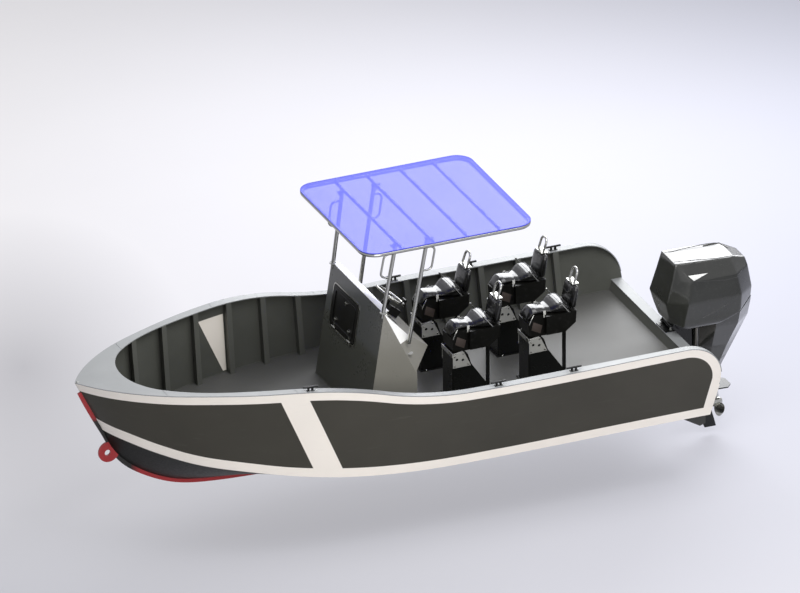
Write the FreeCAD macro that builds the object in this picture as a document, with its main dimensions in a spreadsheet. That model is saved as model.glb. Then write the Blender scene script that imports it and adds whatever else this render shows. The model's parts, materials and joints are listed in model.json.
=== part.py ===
import FreeCAD, Part
import Sketcher
import math
import os

# Open aluminium workboat with a centre console, a top on four legs, four
# jockey seats and one outboard motor.  Lengths are millimetres.  +X is the
# bow, +Y is port, +Z is up.  The origin lies on the centreline, amidships,
# at the waterline.

V = FreeCAD.Vector
Rotation = FreeCAD.Rotation
Placement = FreeCAD.Placement
doc = FreeCAD.newDocument("workboat")
sheet = doc.addObject("Spreadsheet::Sheet", "Sizes")

SIZES = [
    # columns: alias, number, what it measures
    # hull
    ("half_length", 3500, "origin to the bow tip, and to the aft edge of the sides"),
    ("deck_height", 300, "deck top above the waterline"),
    ("deck_plate", 10, "deck plate thickness"),
    ("side_plate", 12, "side plating, measured in plan"),
    ("loft_top", 1250, "height at which the untrimmed sides end"),
    ("stem_rake", 310, "bow tip back to the forward end of the chine"),
    ("stem_over", 77, "how far the untrimmed stem runs past the bow tip"),
    ("stem_foot_z", 500, "height of the chine at the stem"),
    ("rail_fwd", 1105, "height of the forward gunwale"),
    ("rail_aft", 848, "height of the aft gunwale"),
    ("step_fwd_x", 1450, "forward end of the step in the gunwale"),
    ("step_aft_x", -550, "aft end of the step in the gunwale"),
    ("stern_round", 450, "radius of the rounded stern corner of each side"),
    ("stern_rake", 80, "aft edge of the sides forward to the chine's aft end"),
    ("stern_low_z", -100, "height of the chine at the stern"),
    ("cap_width", 100, "width of the gunwale cap"),
    ("cap_plate", 10, "thickness of the gunwale cap"),
    ("nose_back", 540, "bow tip back to the open cockpit"),
    ("nose_deep", 220, "rounded forward end of the cockpit, fore and aft"),
    ("nose_half", 520, "half width where that round ends"),
    ("rib_depth", 85, "depth of a bulwark rib, inboard of the plating"),
    ("rib_wide", 64, "width of a bulwark rib"),
    ("rib_back", 1005, "bow tip back to the foremost rib"),
    ("rib_pitch", 435, "spacing of the ribs"),
    ("rib_stern", 700, "least distance of a rib from the stern"),
    ("coaming_rise", 100, "stern coaming above the deck"),
    ("coaming_thick", 110, "stern coaming at its top, fore and aft"),
    ("coaming_slope", 40, "how far the coaming's foot stands out forward"),
    ("coaming_inset", 22, "aft edge of the sides to the coaming"),
    ("coaming_plate", 6, "plate on the coaming"),
    ("coaming_lip", 6, "overhang of that plate"),
    ("keel_bar_wide", 26, "keel bar width"),
    ("keel_bar_deep", 34, "keel bar projection below the plating"),
    ("keel_bar_head", 978, "height of the keel bar's upper end"),
    ("keel_bar_inset", 170, "sides' aft edge forward to the keel bar's end"),
    ("tow_eye_radius", 118, "towing eye plate"),
    ("tow_hole_radius", 34, "hole in the towing eye plate"),
    ("tow_eye_out", 78, "towing eye plate's centre ahead of the stem"),
    ("tow_eye_z", 205, "towing eye plate height"),
    ("tow_hole_out", 14, "hole ahead of the eye plate's centre"),
    ("tow_hole_drop", 6, "hole below the eye plate's centre"),
    ("fin_long", 260, "stern fin length"),
    ("fin_deep", 130, "stern fin depth below the chine"),
    ("fin_thick", 14, "stern fin thickness"),
    ("fin_off", 1080, "stern fin off the centreline"),
    ("fin_inset", 80, "stern fin forward of the sides' aft edge"),
    ("cleat_long", 170, "cleat horn, end to end"),
    ("cleat_horn", 12, "cleat horn radius"),
    ("cleat_rise", 40, "cleat horn above the cap"),
    ("cleat_post", 13, "cleat post radius"),
    ("cleat_spread", 48, "cleat posts apart"),
    ("cleat_foot", 8, "cleat base thickness"),
    # console
    ("console_half", 700, "half width of the console"),
    ("console_foot_x", 370, "console front at the deck"),
    ("console_top_x", 183, "console front at its top"),
    ("console_top_z", 1588, "console top edge"),
    ("dash_break_x", -131, "upper dash panel meets the lower one"),
    ("dash_break_z", 1240, "height of that line"),
    ("dash_tip_x", -424, "aft edge of the dash"),
    ("dash_tip_z", 998, "height of the aft edge of the dash"),
    ("knee_x", -207, "console back above the knee recess"),
    ("knee_z", 827, "height of the knee recess"),
    ("bevel_side", 100, "how far the corner bevel reaches along the dash break"),
    ("bevel_low_z", 1211, "lowest point of the corner bevel on the side"),
    ("console_wall", 8, "console wall thickness"),
    ("hatch_wide", 640, "console hatch width"),
    ("hatch_tall", 455, "console hatch height up the sloped front"),
    ("hatch_thick", 18, "console hatch thickness"),
    ("hatch_proud", 8, "console hatch proud of the console front"),
    ("hatch_press", 60, "margin round the pressed panel of the hatch"),
    ("hatch_dish", 4, "depth of the pressed panel of the hatch"),
    ("hatch_gap", 7, "gap round the console hatch"),
    ("hatch_low", 667, "lower edge of the hatch, up the sloped front"),
    ("hatch_off", 215, "hatch centre, to starboard of the centreline"),
    ("hatch_round", 40, "corner radius of the hatch"),
    ("rim_wide", 14, "width of the frame round the hatch"),
    ("rim_thick", 7, "thickness of that frame"),
    ("latch_radius", 24, "hatch latch radius"),
    ("latch_thick", 10, "hatch latch thickness"),
    ("barrel", 6, "hatch hinge barrel radius"),
    ("barrel_out", 14, "hatch hinge pin ahead of the console front"),
    ("leaf", 3, "hatch hinge leaf thickness"),
    ("leaf_long", 44, "hatch hinge leaf, away from its pin"),
    ("hinge_spread", 400, "hatch hinges apart"),
    ("wheel_radius", 175, "steering wheel, to the rim's centre"),
    ("wheel_rim", 13, "steering wheel rim, section radius"),
    ("wheel_off", 330, "steering wheel, to starboard of the centreline"),
    ("wheel_x", -345, "steering wheel centre, fore and aft"),
    ("wheel_z", 1245, "steering wheel centre height"),
    ("wheel_hub", 36, "steering wheel hub radius"),
    ("wheel_shaft", 11, "steering shaft radius"),
    ("spoke", 8, "steering wheel spoke radius"),
    ("helm_foot", 56, "helm housing radius at the dash"),
    ("helm_head", 34, "helm housing radius at its top"),
    ("lever_off", 60, "throttle, to starboard of the centreline"),
    ("lever_box", 140, "throttle box, along the dash"),
    ("lever_half", 34, "throttle box half width"),
    ("lever_tall", 90, "throttle box above the dash"),
    ("lever_long", 150, "throttle lever"),
    ("lever_rod", 9, "throttle lever radius"),
    ("lever_grip", 17, "throttle grip radius"),
    # top
    ("top_front_x", 511, "front edge of the top"),
    ("top_aft_x", -1498, "aft edge of the top"),
    ("top_half", 943, "half width of the top"),
    ("top_z", 2450, "upper face of the top's panel"),
    ("top_corner", 190, "corner radius of the top"),
    ("top_panel", 10, "panel thickness"),
    ("frame_tube", 22, "radius of the top's frame tube"),
    ("bar_tube", 19, "radius of a cross bar"),
    ("bar_pitch", 388, "spacing of the cross bars aft of the legs"),
    ("leg_tube", 22, "radius of a leg"),
    ("leg_inset", 33, "leg foot inboard of the console's side"),
    ("leg_splay", 45, "leg head outboard of its foot"),
    ("leg_fwd_head_x", 49, "forward leg head"),
    ("leg_aft_head_x", -323, "aft leg head"),
    ("leg_fwd_foot_x", 178, "forward leg foot"),
    ("leg_aft_foot_x", -131, "aft leg foot"),
    ("leg_sink", 60, "how far a leg runs on to meet the console"),
    ("grab_tube", 12, "radius of a grab handle"),
    ("grab_long", 280, "grab handle, along its leg"),
    ("grab_drop", 130, "leg head down to the grab handle"),
    ("grab_out", 114, "reach of a grab handle from its leg"),
    ("grab_bend", 55, "bend radius of a grab handle"),
    # seats
    ("seat_fwd_x", -905, "forward seat pair, datum of the pedestal"),
    ("seat_pitch", 894, "fore and aft distance between the seat pairs"),
    ("seat_off", 411, "seat off the centreline"),
    ("seat_front", 217, "seat datum forward to the pedestal's front"),
    ("seat_foot_aft", 288, "seat datum aft to the pedestal's heel"),
    ("pedestal_half", 140, "pedestal half width"),
    ("pedestal_tall", 540, "pedestal height"),
    ("heel_tall", 417, "height at which the pedestal's raked back begins"),
    ("flange", 8, "pedestal foot flange thickness"),
    ("flange_out", 20, "pedestal foot flange beyond the pedestal"),
    ("cheek_plate", 8, "suspension cheek thickness"),
    ("cheek_hole", 16, "hole in a suspension cheek"),
    ("pod_half", 130, "half width of the seat pod's nose"),
    ("hip_half", 185, "half width of the seat pod's hips"),
    ("pod_floor", 580, "underside of the seat pod above the deck"),
    ("saddle_z", 822, "underside of the saddle above the deck"),
    ("saddle_thick", 68, "saddle thickness at its nose"),
    ("saddle_hump", 103, "saddle thickness at its hump"),
    ("soft_gap", 0.3, "clearance of a cushion from what carries it"),
    ("back_top", 1090, "top of the backrest above the deck"),
    ("back_half", 160, "backrest half width"),
    ("back_thick", 65, "backrest thickness"),
    ("loop_tube", 13, "seat loop tube radius"),
    ("loop_top", 1257, "top of the seat loop above the deck"),
    ("loop_half", 62, "seat loop half width"),
    ("loop_back", 394, "seat datum aft to the seat loop"),
    ("post_wide", 32, "rear seat post, across"),
    ("post_x", 254, "seat datum aft to the rear post"),
    # outboard motor
    ("pivot_in", 45, "sides' aft edge forward to the tilt tube"),
    ("pivot_rise", 44, "tilt tube above the coaming plate"),
    ("pivot_tube", 20, "tilt tube radius"),
    ("pivot_gap", 0.4, "running clearance at the tilt tube and the steering shaft"),
    ("cheek_head", 28, "round head of a clamp cheek"),
    ("clamp_thick", 28, "clamp cheek thickness"),
    ("clamp_half", 124, "outer face of a clamp cheek off the centreline"),
    ("steer_back", 245, "tilt tube aft to the steering shaft"),
    ("steer_shaft", 24, "radius of the steering shaft"),
    ("steer_tube", 46, "radius of the swivel bracket's tube"),
    ("steer_low", 540, "tilt tube down to the lower end of the swivel bracket"),
    ("swivel_half", 86, "half width of the swivel bracket's arms"),
    ("swivel_arm", 30, "thickness of a swivel arm"),
    ("cowl_foot", 35, "tilt tube up to the cowl's lower edge"),
    ("cowl_half", 330, "half width of the cowl"),
    ("cowl_top", 785, "tilt tube up to the top of the cowl's front"),
    ("block_half", 140, "half width of the engine block"),
    ("block_long", 500, "engine block length"),
    ("block_top", 570, "tilt tube up to the top of the engine block"),
    ("plate_drop", 825, "tilt tube down to the anti-ventilation plate"),
    ("plate_thick", 14, "anti-ventilation plate thickness"),
    ("prop_back", 330, "steering shaft aft to the middle of the propeller hub"),
    ("prop_drop", 1040, "tilt tube down to the propeller shaft"),
    ("prop_radius", 175, "propeller radius"),
    ("prop_hub", 52, "propeller hub radius"),
    ("prop_shaft", 16, "propeller shaft radius"),
    ("bullet", 58, "gearcase bullet radius"),
    ("skeg_drop", 1325, "tilt tube down to the lower edge of the skeg"),
    ("skeg_thick", 16, "skeg thickness"),
]
for row, (alias, number, note) in enumerate(SIZES, 1):
    sheet.set("A%d" % row, note)
    sheet.set("B%d" % row, str(number))
    sheet.setAlias("B%d" % row, alias)
doc.recompute()


# Sizes that carry the expression which binds them to the sheet

class Size:
    """A size as its number and as the expression that gives it."""

    def __init__(self, number, text):
        self.number = number
        self.text = text

    def joined(self, other, sign, number):
        return Size(number, "(%s %s %s)" % (self.text, sign, other.text))

    def __add__(self, other):
        other = as_size(other)
        return self.joined(other, "+", self.number + other.number)

    def __sub__(self, other):
        other = as_size(other)
        return self.joined(other, "-", self.number - other.number)

    def __mul__(self, other):
        other = as_size(other)
        return self.joined(other, "*", self.number * other.number)

    def __truediv__(self, other):
        other = as_size(other)
        return self.joined(other, "/", self.number / other.number)

    def __radd__(self, other):
        return as_size(other) + self

    def __rsub__(self, other):
        return as_size(other) - self

    def __rmul__(self, other):
        return as_size(other) * self

    def __neg__(self):
        return as_size(0) - self

    def __float__(self):
        return self.number


def as_size(value):
    if isinstance(value, Size):
        return value
    return Size(float(value), "(%r)" % float(value))


def size(alias):
    return Size(float(sheet.get(alias)), "Sizes.%s" % alias)


def num(alias):
    return float(sheet.get(alias))


def bind(obj, **paths):
    """Gives each property its size, by expression where the size has one."""
    for path, value in paths.items():
        path = path.replace("__", ".")
        obj.setExpression(path, as_size(value).text)


# Document objects

nodes = []


def keep(obj, label):
    """Names a finished piece and puts it on the list that is written."""
    obj.Label = label
    nodes.append(obj)
    return obj


def fixed(label, shape):
    """Shape made in code where neither features nor primitives fit."""
    obj = doc.addObject("Part::Feature", label)
    obj.Shape = shape
    return obj


def primitive(kind, label, place=None, **sizes):
    obj = doc.addObject("Part::" + kind, label)
    bind(obj, **sizes)
    if place is not None:
        obj.Placement = place
    return obj


def block(label, x, y, z):
    """Box between pairs of sizes along X, Y and Z."""
    obj = doc.addObject("Part::Box", label)
    bind(obj, Length=x[1] - x[0], Width=y[1] - y[0], Height=z[1] - z[0])
    bind(obj, Placement__Base__x=x[0], Placement__Base__y=y[0], Placement__Base__z=z[0])
    return obj


def along(start, end):
    """Placement that turns +Z from start towards end."""
    return Placement(start, Rotation(V(0, 0, 1), end - start))


def rod(label, start, end, radius):
    length = (end - start).Length
    return primitive("Cylinder", label, along(start, end), Radius=radius, Height=length)


def tool(kind, label, base, other):
    obj = doc.addObject("Part::" + kind, label)
    obj.Base = base
    obj.Tool = other
    return obj


def cut(label, base, other):
    return tool("Cut", label, base, other)


def common(label, base, other):
    return tool("Common", label, base, other)


def fuse(label, shapes):
    obj = doc.addObject("Part::MultiFuse", label)
    obj.Shapes = shapes
    obj.Refine = True
    return obj


def group(label, shapes):
    obj = doc.addObject("Part::Compound", label)
    obj.Links = shapes
    return obj


def mirror(label, source):
    """The same piece on the other side of the centreline."""
    obj = doc.addObject("Part::Mirroring", label)
    obj.Source = source
    obj.Normal = V(0, 1, 0)
    obj.Base = V(0, 0, 0)
    return obj


def copies(label, source, places):
    """Copies of a piece, each moved by the three sizes of its place."""
    links = []
    for i, (x, y, z) in enumerate(places):
        link = doc.addObject("App::Link", "%s_%d" % (label, i + 1))
        link.LinkedObject = source
        bind(link, Placement__Base__x=x, Placement__Base__y=y, Placement__Base__z=z)
        links.append(link)
    return group(label, links)


def body_at(label, place=None):
    body = doc.addObject("PartDesign::Body", label)
    if place is not None:
        body.Placement = place
    return body


def plane_of(body, name):
    for feature in body.Origin.OriginFeatures:
        if feature.Role == name + "_Plane":
            return feature
    return None


def blank_sketch(body, name, plane, offset):
    sk = body.newObject("Sketcher::SketchObject", name)
    sk.AttachmentSupport = [(plane_of(body, plane), "")]
    sk.MapMode = "FlatFace"
    bind(sk, AttachmentOffset__Base__z=offset)
    return sk


def pin_point(sk, shape, point, spot):
    """Ties a point of the sketch to its two sizes."""
    for kind, value in zip(("DistanceX", "DistanceY"), spot):
        index = sk.addConstraint(Sketcher.Constraint(kind, -1, 1, shape, point, float(value)))
        if isinstance(value, Size):
            sk.setExpression("Constraints[%d]" % index, value.text)


def outline(body, plane, corners, offset=0):
    """Closed outline of straight runs whose corners are tied to the sheet."""
    sk = blank_sketch(body, "%s_outline_%d" % (body.Name, len(body.Group)), plane, offset)
    count = len(corners)
    for i in range(count):
        a = corners[i]
        b = corners[(i + 1) % count]
        sk.addGeometry(Part.LineSegment(V(float(a[0]), float(a[1]), 0), V(float(b[0]), float(b[1]), 0)))
    for i in range(count):
        sk.addConstraint(Sketcher.Constraint("Coincident", i, 2, (i + 1) % count, 1))
    for i in range(count):
        pin_point(sk, i, 1, corners[i])
    return sk


def circles(body, plane, spots, radius, offset=0):
    """One circle at each spot, all of one radius."""
    sk = blank_sketch(body, "%s_circles_%d" % (body.Name, len(body.Group)), plane, offset)
    for i, spot in enumerate(spots):
        sk.addGeometry(Part.Circle(V(float(spot[0]), float(spot[1]), 0), V(0, 0, 1), float(radius)))
        pin_point(sk, i, 3, spot)
        index = sk.addConstraint(Sketcher.Constraint("Radius", i, float(radius)))
        if isinstance(radius, Size):
            sk.setExpression("Constraints[%d]" % index, radius.text)
    return sk


def extrude(body, sk, length, kind):
    """Pad or pocket, half to each side of the sketch."""
    feature = body.newObject("PartDesign::" + kind, "%s_%s_%d" % (body.Name, kind, len(body.Group)))
    feature.Profile = sk
    feature.SideType = "Symmetric"
    bind(feature, Length=length)
    body.Tip = feature
    return feature


def pad(body, plane, corners, length, offset=0):
    return extrude(body, outline(body, plane, corners, offset), length, "Pad")


def pocket(body, plane, corners, length, offset=0):
    return extrude(body, outline(body, plane, corners, offset), length, "Pocket")


def pad_round(body, plane, spots, radius, length, offset=0):
    return extrude(body, circles(body, plane, spots, radius, offset), length, "Pad")


def bore(body, plane, spots, radius, length, offset=0):
    return extrude(body, circles(body, plane, spots, radius, offset), length, "Pocket")


def revolve(body, plane, corners, axis):
    """Turns an outline about one of its sketch's own axes."""
    sk = outline(body, plane, corners)
    feature = body.newObject("PartDesign::Revolution", "%s_turned_%d" % (body.Name, len(body.Group)))
    feature.Profile = sk
    feature.ReferenceAxis = (sk, [axis])
    feature.Angle = 360
    body.Tip = feature
    return feature


def loft(body, rows):
    """Ruled loft through level outlines: pairs of corners and height."""
    sketches = [outline(body, "XY", corners, height) for corners, height in rows]
    feature = body.newObject("PartDesign::AdditiveLoft", "%s_loft_%d" % (body.Name, len(body.Group)))
    feature.Profile = sketches[0]
    feature.Sections = sketches[1:]
    feature.Ruled = True
    body.Tip = feature
    return feature


def dress(body, kind, pick, amount):
    """Rounds or bevels the edges that the test picks."""
    doc.recompute()
    tip = body.Tip
    picked = ["Edge%d" % i for i, edge in enumerate(tip.Shape.Edges, 1) if pick(edge)]
    feature = body.newObject("PartDesign::" + kind, "%s_%s_%d" % (body.Name, kind, len(body.Group)))
    feature.Base = (tip, picked)
    if kind == "Fillet":
        bind(feature, Radius=amount)
    else:
        bind(feature, Size=amount)
    body.Tip = feature
    return feature


def runs_along(axis, low=None):
    """Test for straight edges along an axis, where low passes their middle."""
    def test(edge):
        if len(edge.Vertexes) != 2:
            return False
        a = edge.Vertexes[0].Point
        b = edge.Vertexes[1].Point
        if (b - a).Length < 1e-6:
            return False
        if abs((b - a).normalize().dot(axis)) < 0.9999:
            return False
        return low is None or low((a + b) * 0.5)
    return test


def tube(label, points, radius, bend):
    """Round tube along straight runs joined by tangent bends."""
    pieces = []
    start = points[0]
    for i in range(1, len(points) - 1):
        before = (points[i - 1] - points[i]).normalize()
        after = (points[i + 1] - points[i]).normalize()
        angle = before.getAngle(after)
        back = bend / math.tan(angle / 2)
        a = points[i] + before * back
        b = points[i] + after * back
        centre = points[i] + (before + after).normalize() * (bend / math.sin(angle / 2))
        if (a - start).Length > 0.01:
            pieces.append(rod("%s_run_%d" % (label, i), start, a, radius))
        first = (a - centre).normalize()
        axis = first.cross((b - centre).normalize()).normalize()
        turn = Placement(centre, Rotation(first, axis.cross(first), axis, "ZXY"))
        pieces.append(primitive("Torus", "%s_bend_%d" % (label, i), turn, Radius1=bend, Radius2=radius,
                                Angle3=180 - math.degrees(angle)))
        start = b
    if (points[-1] - start).Length > 0.01:
        pieces.append(rod("%s_run_%d" % (label, len(points)), start, points[-1], radius))
    return pieces


# Hull
H = num("half_length")
DECK = num("deck_height")
TOP = num("loft_top")
half_length = size("half_length")
deck_top = size("deck_height")
deck_under = deck_top - size("deck_plate")
reach = half_length * 1.2
beam = half_length * 2
STEM_X = H - num("stem_rake")
STEM_Z = num("stem_foot_z")
TIP_X = H + num("stem_over")
# The tables of offsets were drawn for this half length and stretch with the hull
DRAWN = 3500
STRETCH = H / DRAWN
# Each row is one ruling of the hull: a point of the chine, of the untrimmed
# top edge above it, and of the keel below it.
# columns: chine x, chine y, chine z, top x, top y, keel x, keel z
OFFSETS = [
    (3036, 253, 449, 3235, 385, 2985, 130),
    (2704, 516, 325, 2793, 700, 2660, -125),
    (2346, 723, 218, 2385, 890, 2310, -275),
    (1967, 881, 145, 1985, 1052, 1940, -335),
    (1100, 1101, -3, 1100, 1296, 1100, -368),
    (60, 1187, -101, 60, 1487, 60, -385),
    (-1000, 1200, -115, -1000, 1572, -1000, -385),
    (-2150, 1200, -105, -2150, 1556, -2150, -385),
    (-3650, 1200, -100, -3650, 1545, -3650, -385),
]
RULINGS = [(STEM_X, 0, STEM_Z, TIP_X, 0, STEM_X - 28, STEM_Z - 50)]
for cx, cy, cz, tx, ty, kx, kz in OFFSETS:
    RULINGS.append((cx * STRETCH, cy, cz, tx * STRETCH, ty, kx * STRETCH, kz))
# columns: x, half breadth of the gunwale's outer edge
RAIL_PLAN = [
    (2300, 905), (1800, 1086), (1300, 1222), (800, 1325), (300, 1393),
    (-200, 1435), (-700, 1456), (-1450, 1452), (-2450, 1447), (-3600, 1440),
]


def breadth(x):
    """Half breadth of the gunwale at a station."""
    for (x1, y1), (x0, y0) in zip(RAIL_PLAN, RAIL_PLAN[1:]):
        if x >= x0 * STRETCH:
            return y0 + (y1 - y0) * (x / STRETCH - x0) / (x1 - x0)
    return RAIL_PLAN[-1][1]


def curve(points):
    spline = Part.BSplineCurve()
    spline.interpolate([V(*p) for p in points])
    return spline.toShape()


def line(a, b):
    return Part.LineSegment(V(*a), V(*b)).toShape()


def plan_offset(points, shift):
    """Moves a plan curve inboard by shift along its own normals."""
    moved = []
    for i, (x, y, z) in enumerate(points):
        if i == 0:
            bx, by = points[1][0], points[1][1]
            run = math.hypot(bx - x, by - y)
            moved.append((x - shift * run / max(by - y, 1.0), 0.0, z))
            continue
        ax, ay = points[i - 1][0], points[i - 1][1]
        bx, by = points[min(i + 1, len(points) - 1)][0], points[min(i + 1, len(points) - 1)][1]
        run = math.hypot(bx - ax, by - ay)
        nx, ny = -(by - ay) / run, (bx - ax) / run
        if ny > 0:
            nx, ny = -nx, -ny
        last = i == len(points) - 1
        moved.append((x if last else x + nx * shift, y + ny * shift, z))
    return moved


def hull_solid(shift):
    """Untrimmed hull as one solid, its skin moved inboard by shift."""
    chine = plan_offset([(r[0], r[1], r[2]) for r in RULINGS], shift)
    top = plan_offset([(r[3], r[4], TOP) for r in RULINGS], shift)
    keel = [(r[5] - (shift if i == 0 else 0), 0, r[6]) for i, r in enumerate(RULINGS)]
    faces = []
    for side in (1, -1):
        c = [(x, side * y, z) for x, y, z in chine]
        t = [(x, side * y, z) for x, y, z in top]
        faces.append(Part.makeRuledSurface(curve(c), curve(t)))
        faces.append(Part.makeRuledSurface(curve(keel), curve(c)))
    c, t, k = chine[-1], top[-1], keel[-1]
    stern = [k, c, t, (t[0], -t[1], t[2]), (c[0], -c[1], c[2]), k]
    faces.append(Part.Face(Part.makePolygon([V(*p) for p in stern])))
    faces.append(Part.Face(Part.Wire([curve(top), line(t, (t[0], -t[1], t[2])),
                                      curve([(x, -y, z) for x, y, z in top])])))
    shell = Part.makeShell(faces)
    shell.sewShape()
    solid = Part.Solid(shell)
    if solid.Volume < 0:
        solid.reverse()
    return solid


# gunwale in side view: high forward, low aft, two arcs between
step_x1 = num("step_fwd_x")
step_x2 = num("step_aft_x")
step_z1 = num("rail_fwd")
step_z2 = num("rail_aft")
step_long = step_x1 - step_x2
step_fall = step_z1 - step_z2
step_radius = (step_long * step_long + step_fall * step_fall) / (4.0 * step_fall)
LOW = V(-H + num("stern_rake"), 0, num("stern_low_z"))


def side_outline(drop):
    """Closed side outline below the gunwale, lowered by drop."""
    r = num("stern_round")
    xm = (step_x1 + step_x2) / 2.0
    zm = (step_z1 + step_z2) / 2.0
    half = math.asin((step_long / 2.0) / step_radius) / 2.0
    across = step_radius * math.sin(half)
    fall = step_radius * (1 - math.cos(half))
    # stern corner: an arc tangent to the gunwale and to the raked aft edge
    cx = -H + r
    cz = step_z2 - r
    dist = math.hypot(LOW.x - cx, LOW.z - cz)
    turn = math.atan2(LOW.z - cz, LOW.x - cx) - math.acos(r / dist)
    touch = V(cx + r * math.cos(turn), 0, cz + r * math.sin(turn))
    middle = (math.pi / 2.0 + (turn % (2 * math.pi))) / 2.0
    corner = V(cx + r * math.cos(middle), 0, cz + r * math.sin(middle))
    bow = H * 1.1
    foot = touch + (LOW - touch) * 1.8
    edges = [
        line((bow, 0, step_z1), (step_x1, 0, step_z1)),
        Part.Arc(V(step_x1, 0, step_z1), V(step_x1 - across, 0, step_z1 - fall), V(xm, 0, zm)).toShape(),
        Part.Arc(V(xm, 0, zm), V(step_x2 + across, 0, step_z2 + fall), V(step_x2, 0, step_z2)).toShape(),
        line((step_x2, 0, step_z2), (cx, 0, step_z2)),
        Part.Arc(V(cx, 0, step_z2), corner, touch).toShape(),
        line(touch, foot),
        line(foot, (bow, 0, foot.z)),
        line((bow, 0, foot.z), (bow, 0, step_z1)),
    ]
    wire = Part.Wire(edges)
    if drop:
        wire = wire.makeOffset2D(-drop)
    return Part.Face(wire)


def drawn_out(label, face, way, length):
    """Solid drawn out from a face, half to each side of it."""
    flat = fixed(label + "_face", face)
    obj = doc.addObject("Part::Extrusion", label)
    obj.Base = flat
    obj.DirMode = "Custom"
    obj.Dir = way
    obj.Solid = True
    obj.Symmetric = True
    bind(obj, LengthFwd=length)
    return obj


outer = fixed("hull_form", hull_solid(0))
inner = fixed("hull_form_inside_plating", hull_solid(num("side_plate")))
deep = fixed("hull_form_inside_ribs", hull_solid(num("side_plate") + num("rib_depth")))
profile = drawn_out("side_profile", side_outline(0), V(0, 1, 0), beam)
under_cap = drawn_out("side_profile_under_cap", side_outline(num("cap_plate")), V(0, 1, 0), beam)
trimmed = common("hull_trimmed", outer, profile)
low_part = block("space_below_deck", (-reach, reach), (-half_length, half_length), (-half_length, deck_under))
keep(common("hull_bottom_form", trimmed, low_part), "hull_bottom")

deck_slab = block("deck_slab", (-reach, reach), (-half_length, half_length), (deck_under, deck_top))
keep(common("deck_form", common("deck_outline", inner, profile), deck_slab), "deck")

# side plating, from the deck's underside to the underside of the gunwale cap
plating = cut("plating", common("plating_outside", outer, under_cap), inner)
amidships = as_size(0)
for label, y0, y1 in (("topside_port", amidships, half_length), ("topside_starboard", -half_length, amidships)):
    side = block(label + "_space", (-reach, reach), (y0, y1), (deck_under, half_length))
    keep(common(label + "_form", plating, side), label)

# gunwale cap and foredeck: a band under the side profile, open inside
nose = H - num("nose_back")
shoulder = nose - num("nose_deep")
cap_width = num("cap_width")
well_side = [(shoulder, num("nose_half"), 0)] + [(x * STRETCH, y - cap_width, 0) for x, y in RAIL_PLAN]
well_end = well_side[-1]
bow_round = Part.Arc(V(shoulder, -num("nose_half"), 0), V(nose, 0, 0), V(shoulder, num("nose_half"), 0))
well_wire = Part.Wire([
    bow_round.toShape(), curve(well_side), line(well_end, (well_end[0], -well_end[1], 0)),
    curve([(x, -y, 0) for x, y, z in well_side])])
well = drawn_out("cockpit_well", Part.Face(well_wire), V(0, 0, 1), beam)
cap_space = block("cap_space", (-reach, reach), (-half_length, half_length),
                  (deck_top + size("coaming_rise"), half_length))
cap_band = cut("cap_band", cut("cap_sheet", trimmed, under_cap), well)
keep(common("gunwale_cap_form", cap_band, cap_space), "gunwale_cap")

# bulwark ribs stand on the deck and reach up to the cap
rib_count = int((2 * H - num("rib_back") - num("rib_stern")) / num("rib_pitch")) + 1
slots = []
for i in range(rib_count):
    x = half_length - size("rib_back") - size("rib_pitch") * i
    half = size("rib_wide") / 2
    slots.append(block("rib_slot_%d" % (i + 1), (x - half, x + half), (-half_length, half_length),
                       (deck_top, half_length)))
rib_ring = cut("rib_ring", common("rib_space", inner, under_cap), deep)
keep(common("bulwark_ribs_form", rib_ring, group("rib_slots", slots)), "bulwark_ribs")

# stern coaming between the side platings, and the plate on top of it
coaming_top = deck_top + size("coaming_rise")
cap_top = coaming_top + size("coaming_plate")
coaming_aft = size("coaming_inset") - half_length
coaming_front = coaming_aft + size("coaming_thick")
coaming_foot = coaming_front + size("coaming_slope")
lip = size("coaming_lip")
body = body_at("coaming_section")
pad(body, "XZ", [(coaming_aft, deck_top), (coaming_foot, deck_top), (coaming_front, coaming_top),
                 (coaming_aft, coaming_top)], beam)
keep(common("stern_coaming_form", body, inner), "stern_coaming")
body = body_at("coaming_plate_section")
pad(body, "XZ", [(coaming_aft - lip, coaming_top), (coaming_front + lip, coaming_top),
                 (coaming_front + lip, cap_top), (coaming_aft - lip, cap_top)], beam)
plate = common("coaming_plate_outline", body, inner)
keep(common("coaming_cap_form", plate, profile), "coaming_cap")

# keel bar with the towing eye, seated on the plating
head_z = num("keel_bar_head")
head_x = STEM_X + (TIP_X - STEM_X) * (head_z - STEM_Z) / (TOP - STEM_Z)
bar_line = [(head_x, head_z), (STEM_X, STEM_Z)] + [(r[5], r[6]) for r in RULINGS[:-1]]
bar_line.append((-H + num("keel_bar_inset"), RULINGS[-1][6]))


def beside(points, shift, y):
    """Points moved off a side view curve, away from the hull where shift is positive."""
    out = []
    for i, (x, z) in enumerate(points):
        a = points[max(i - 1, 0)]
        b = points[min(i + 1, len(points) - 1)]
        run = math.hypot(b[0] - a[0], b[1] - a[1])
        out.append((x - (b[1] - a[1]) / run * shift, y, z + (b[0] - a[0]) / run * shift))
    return out


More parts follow.
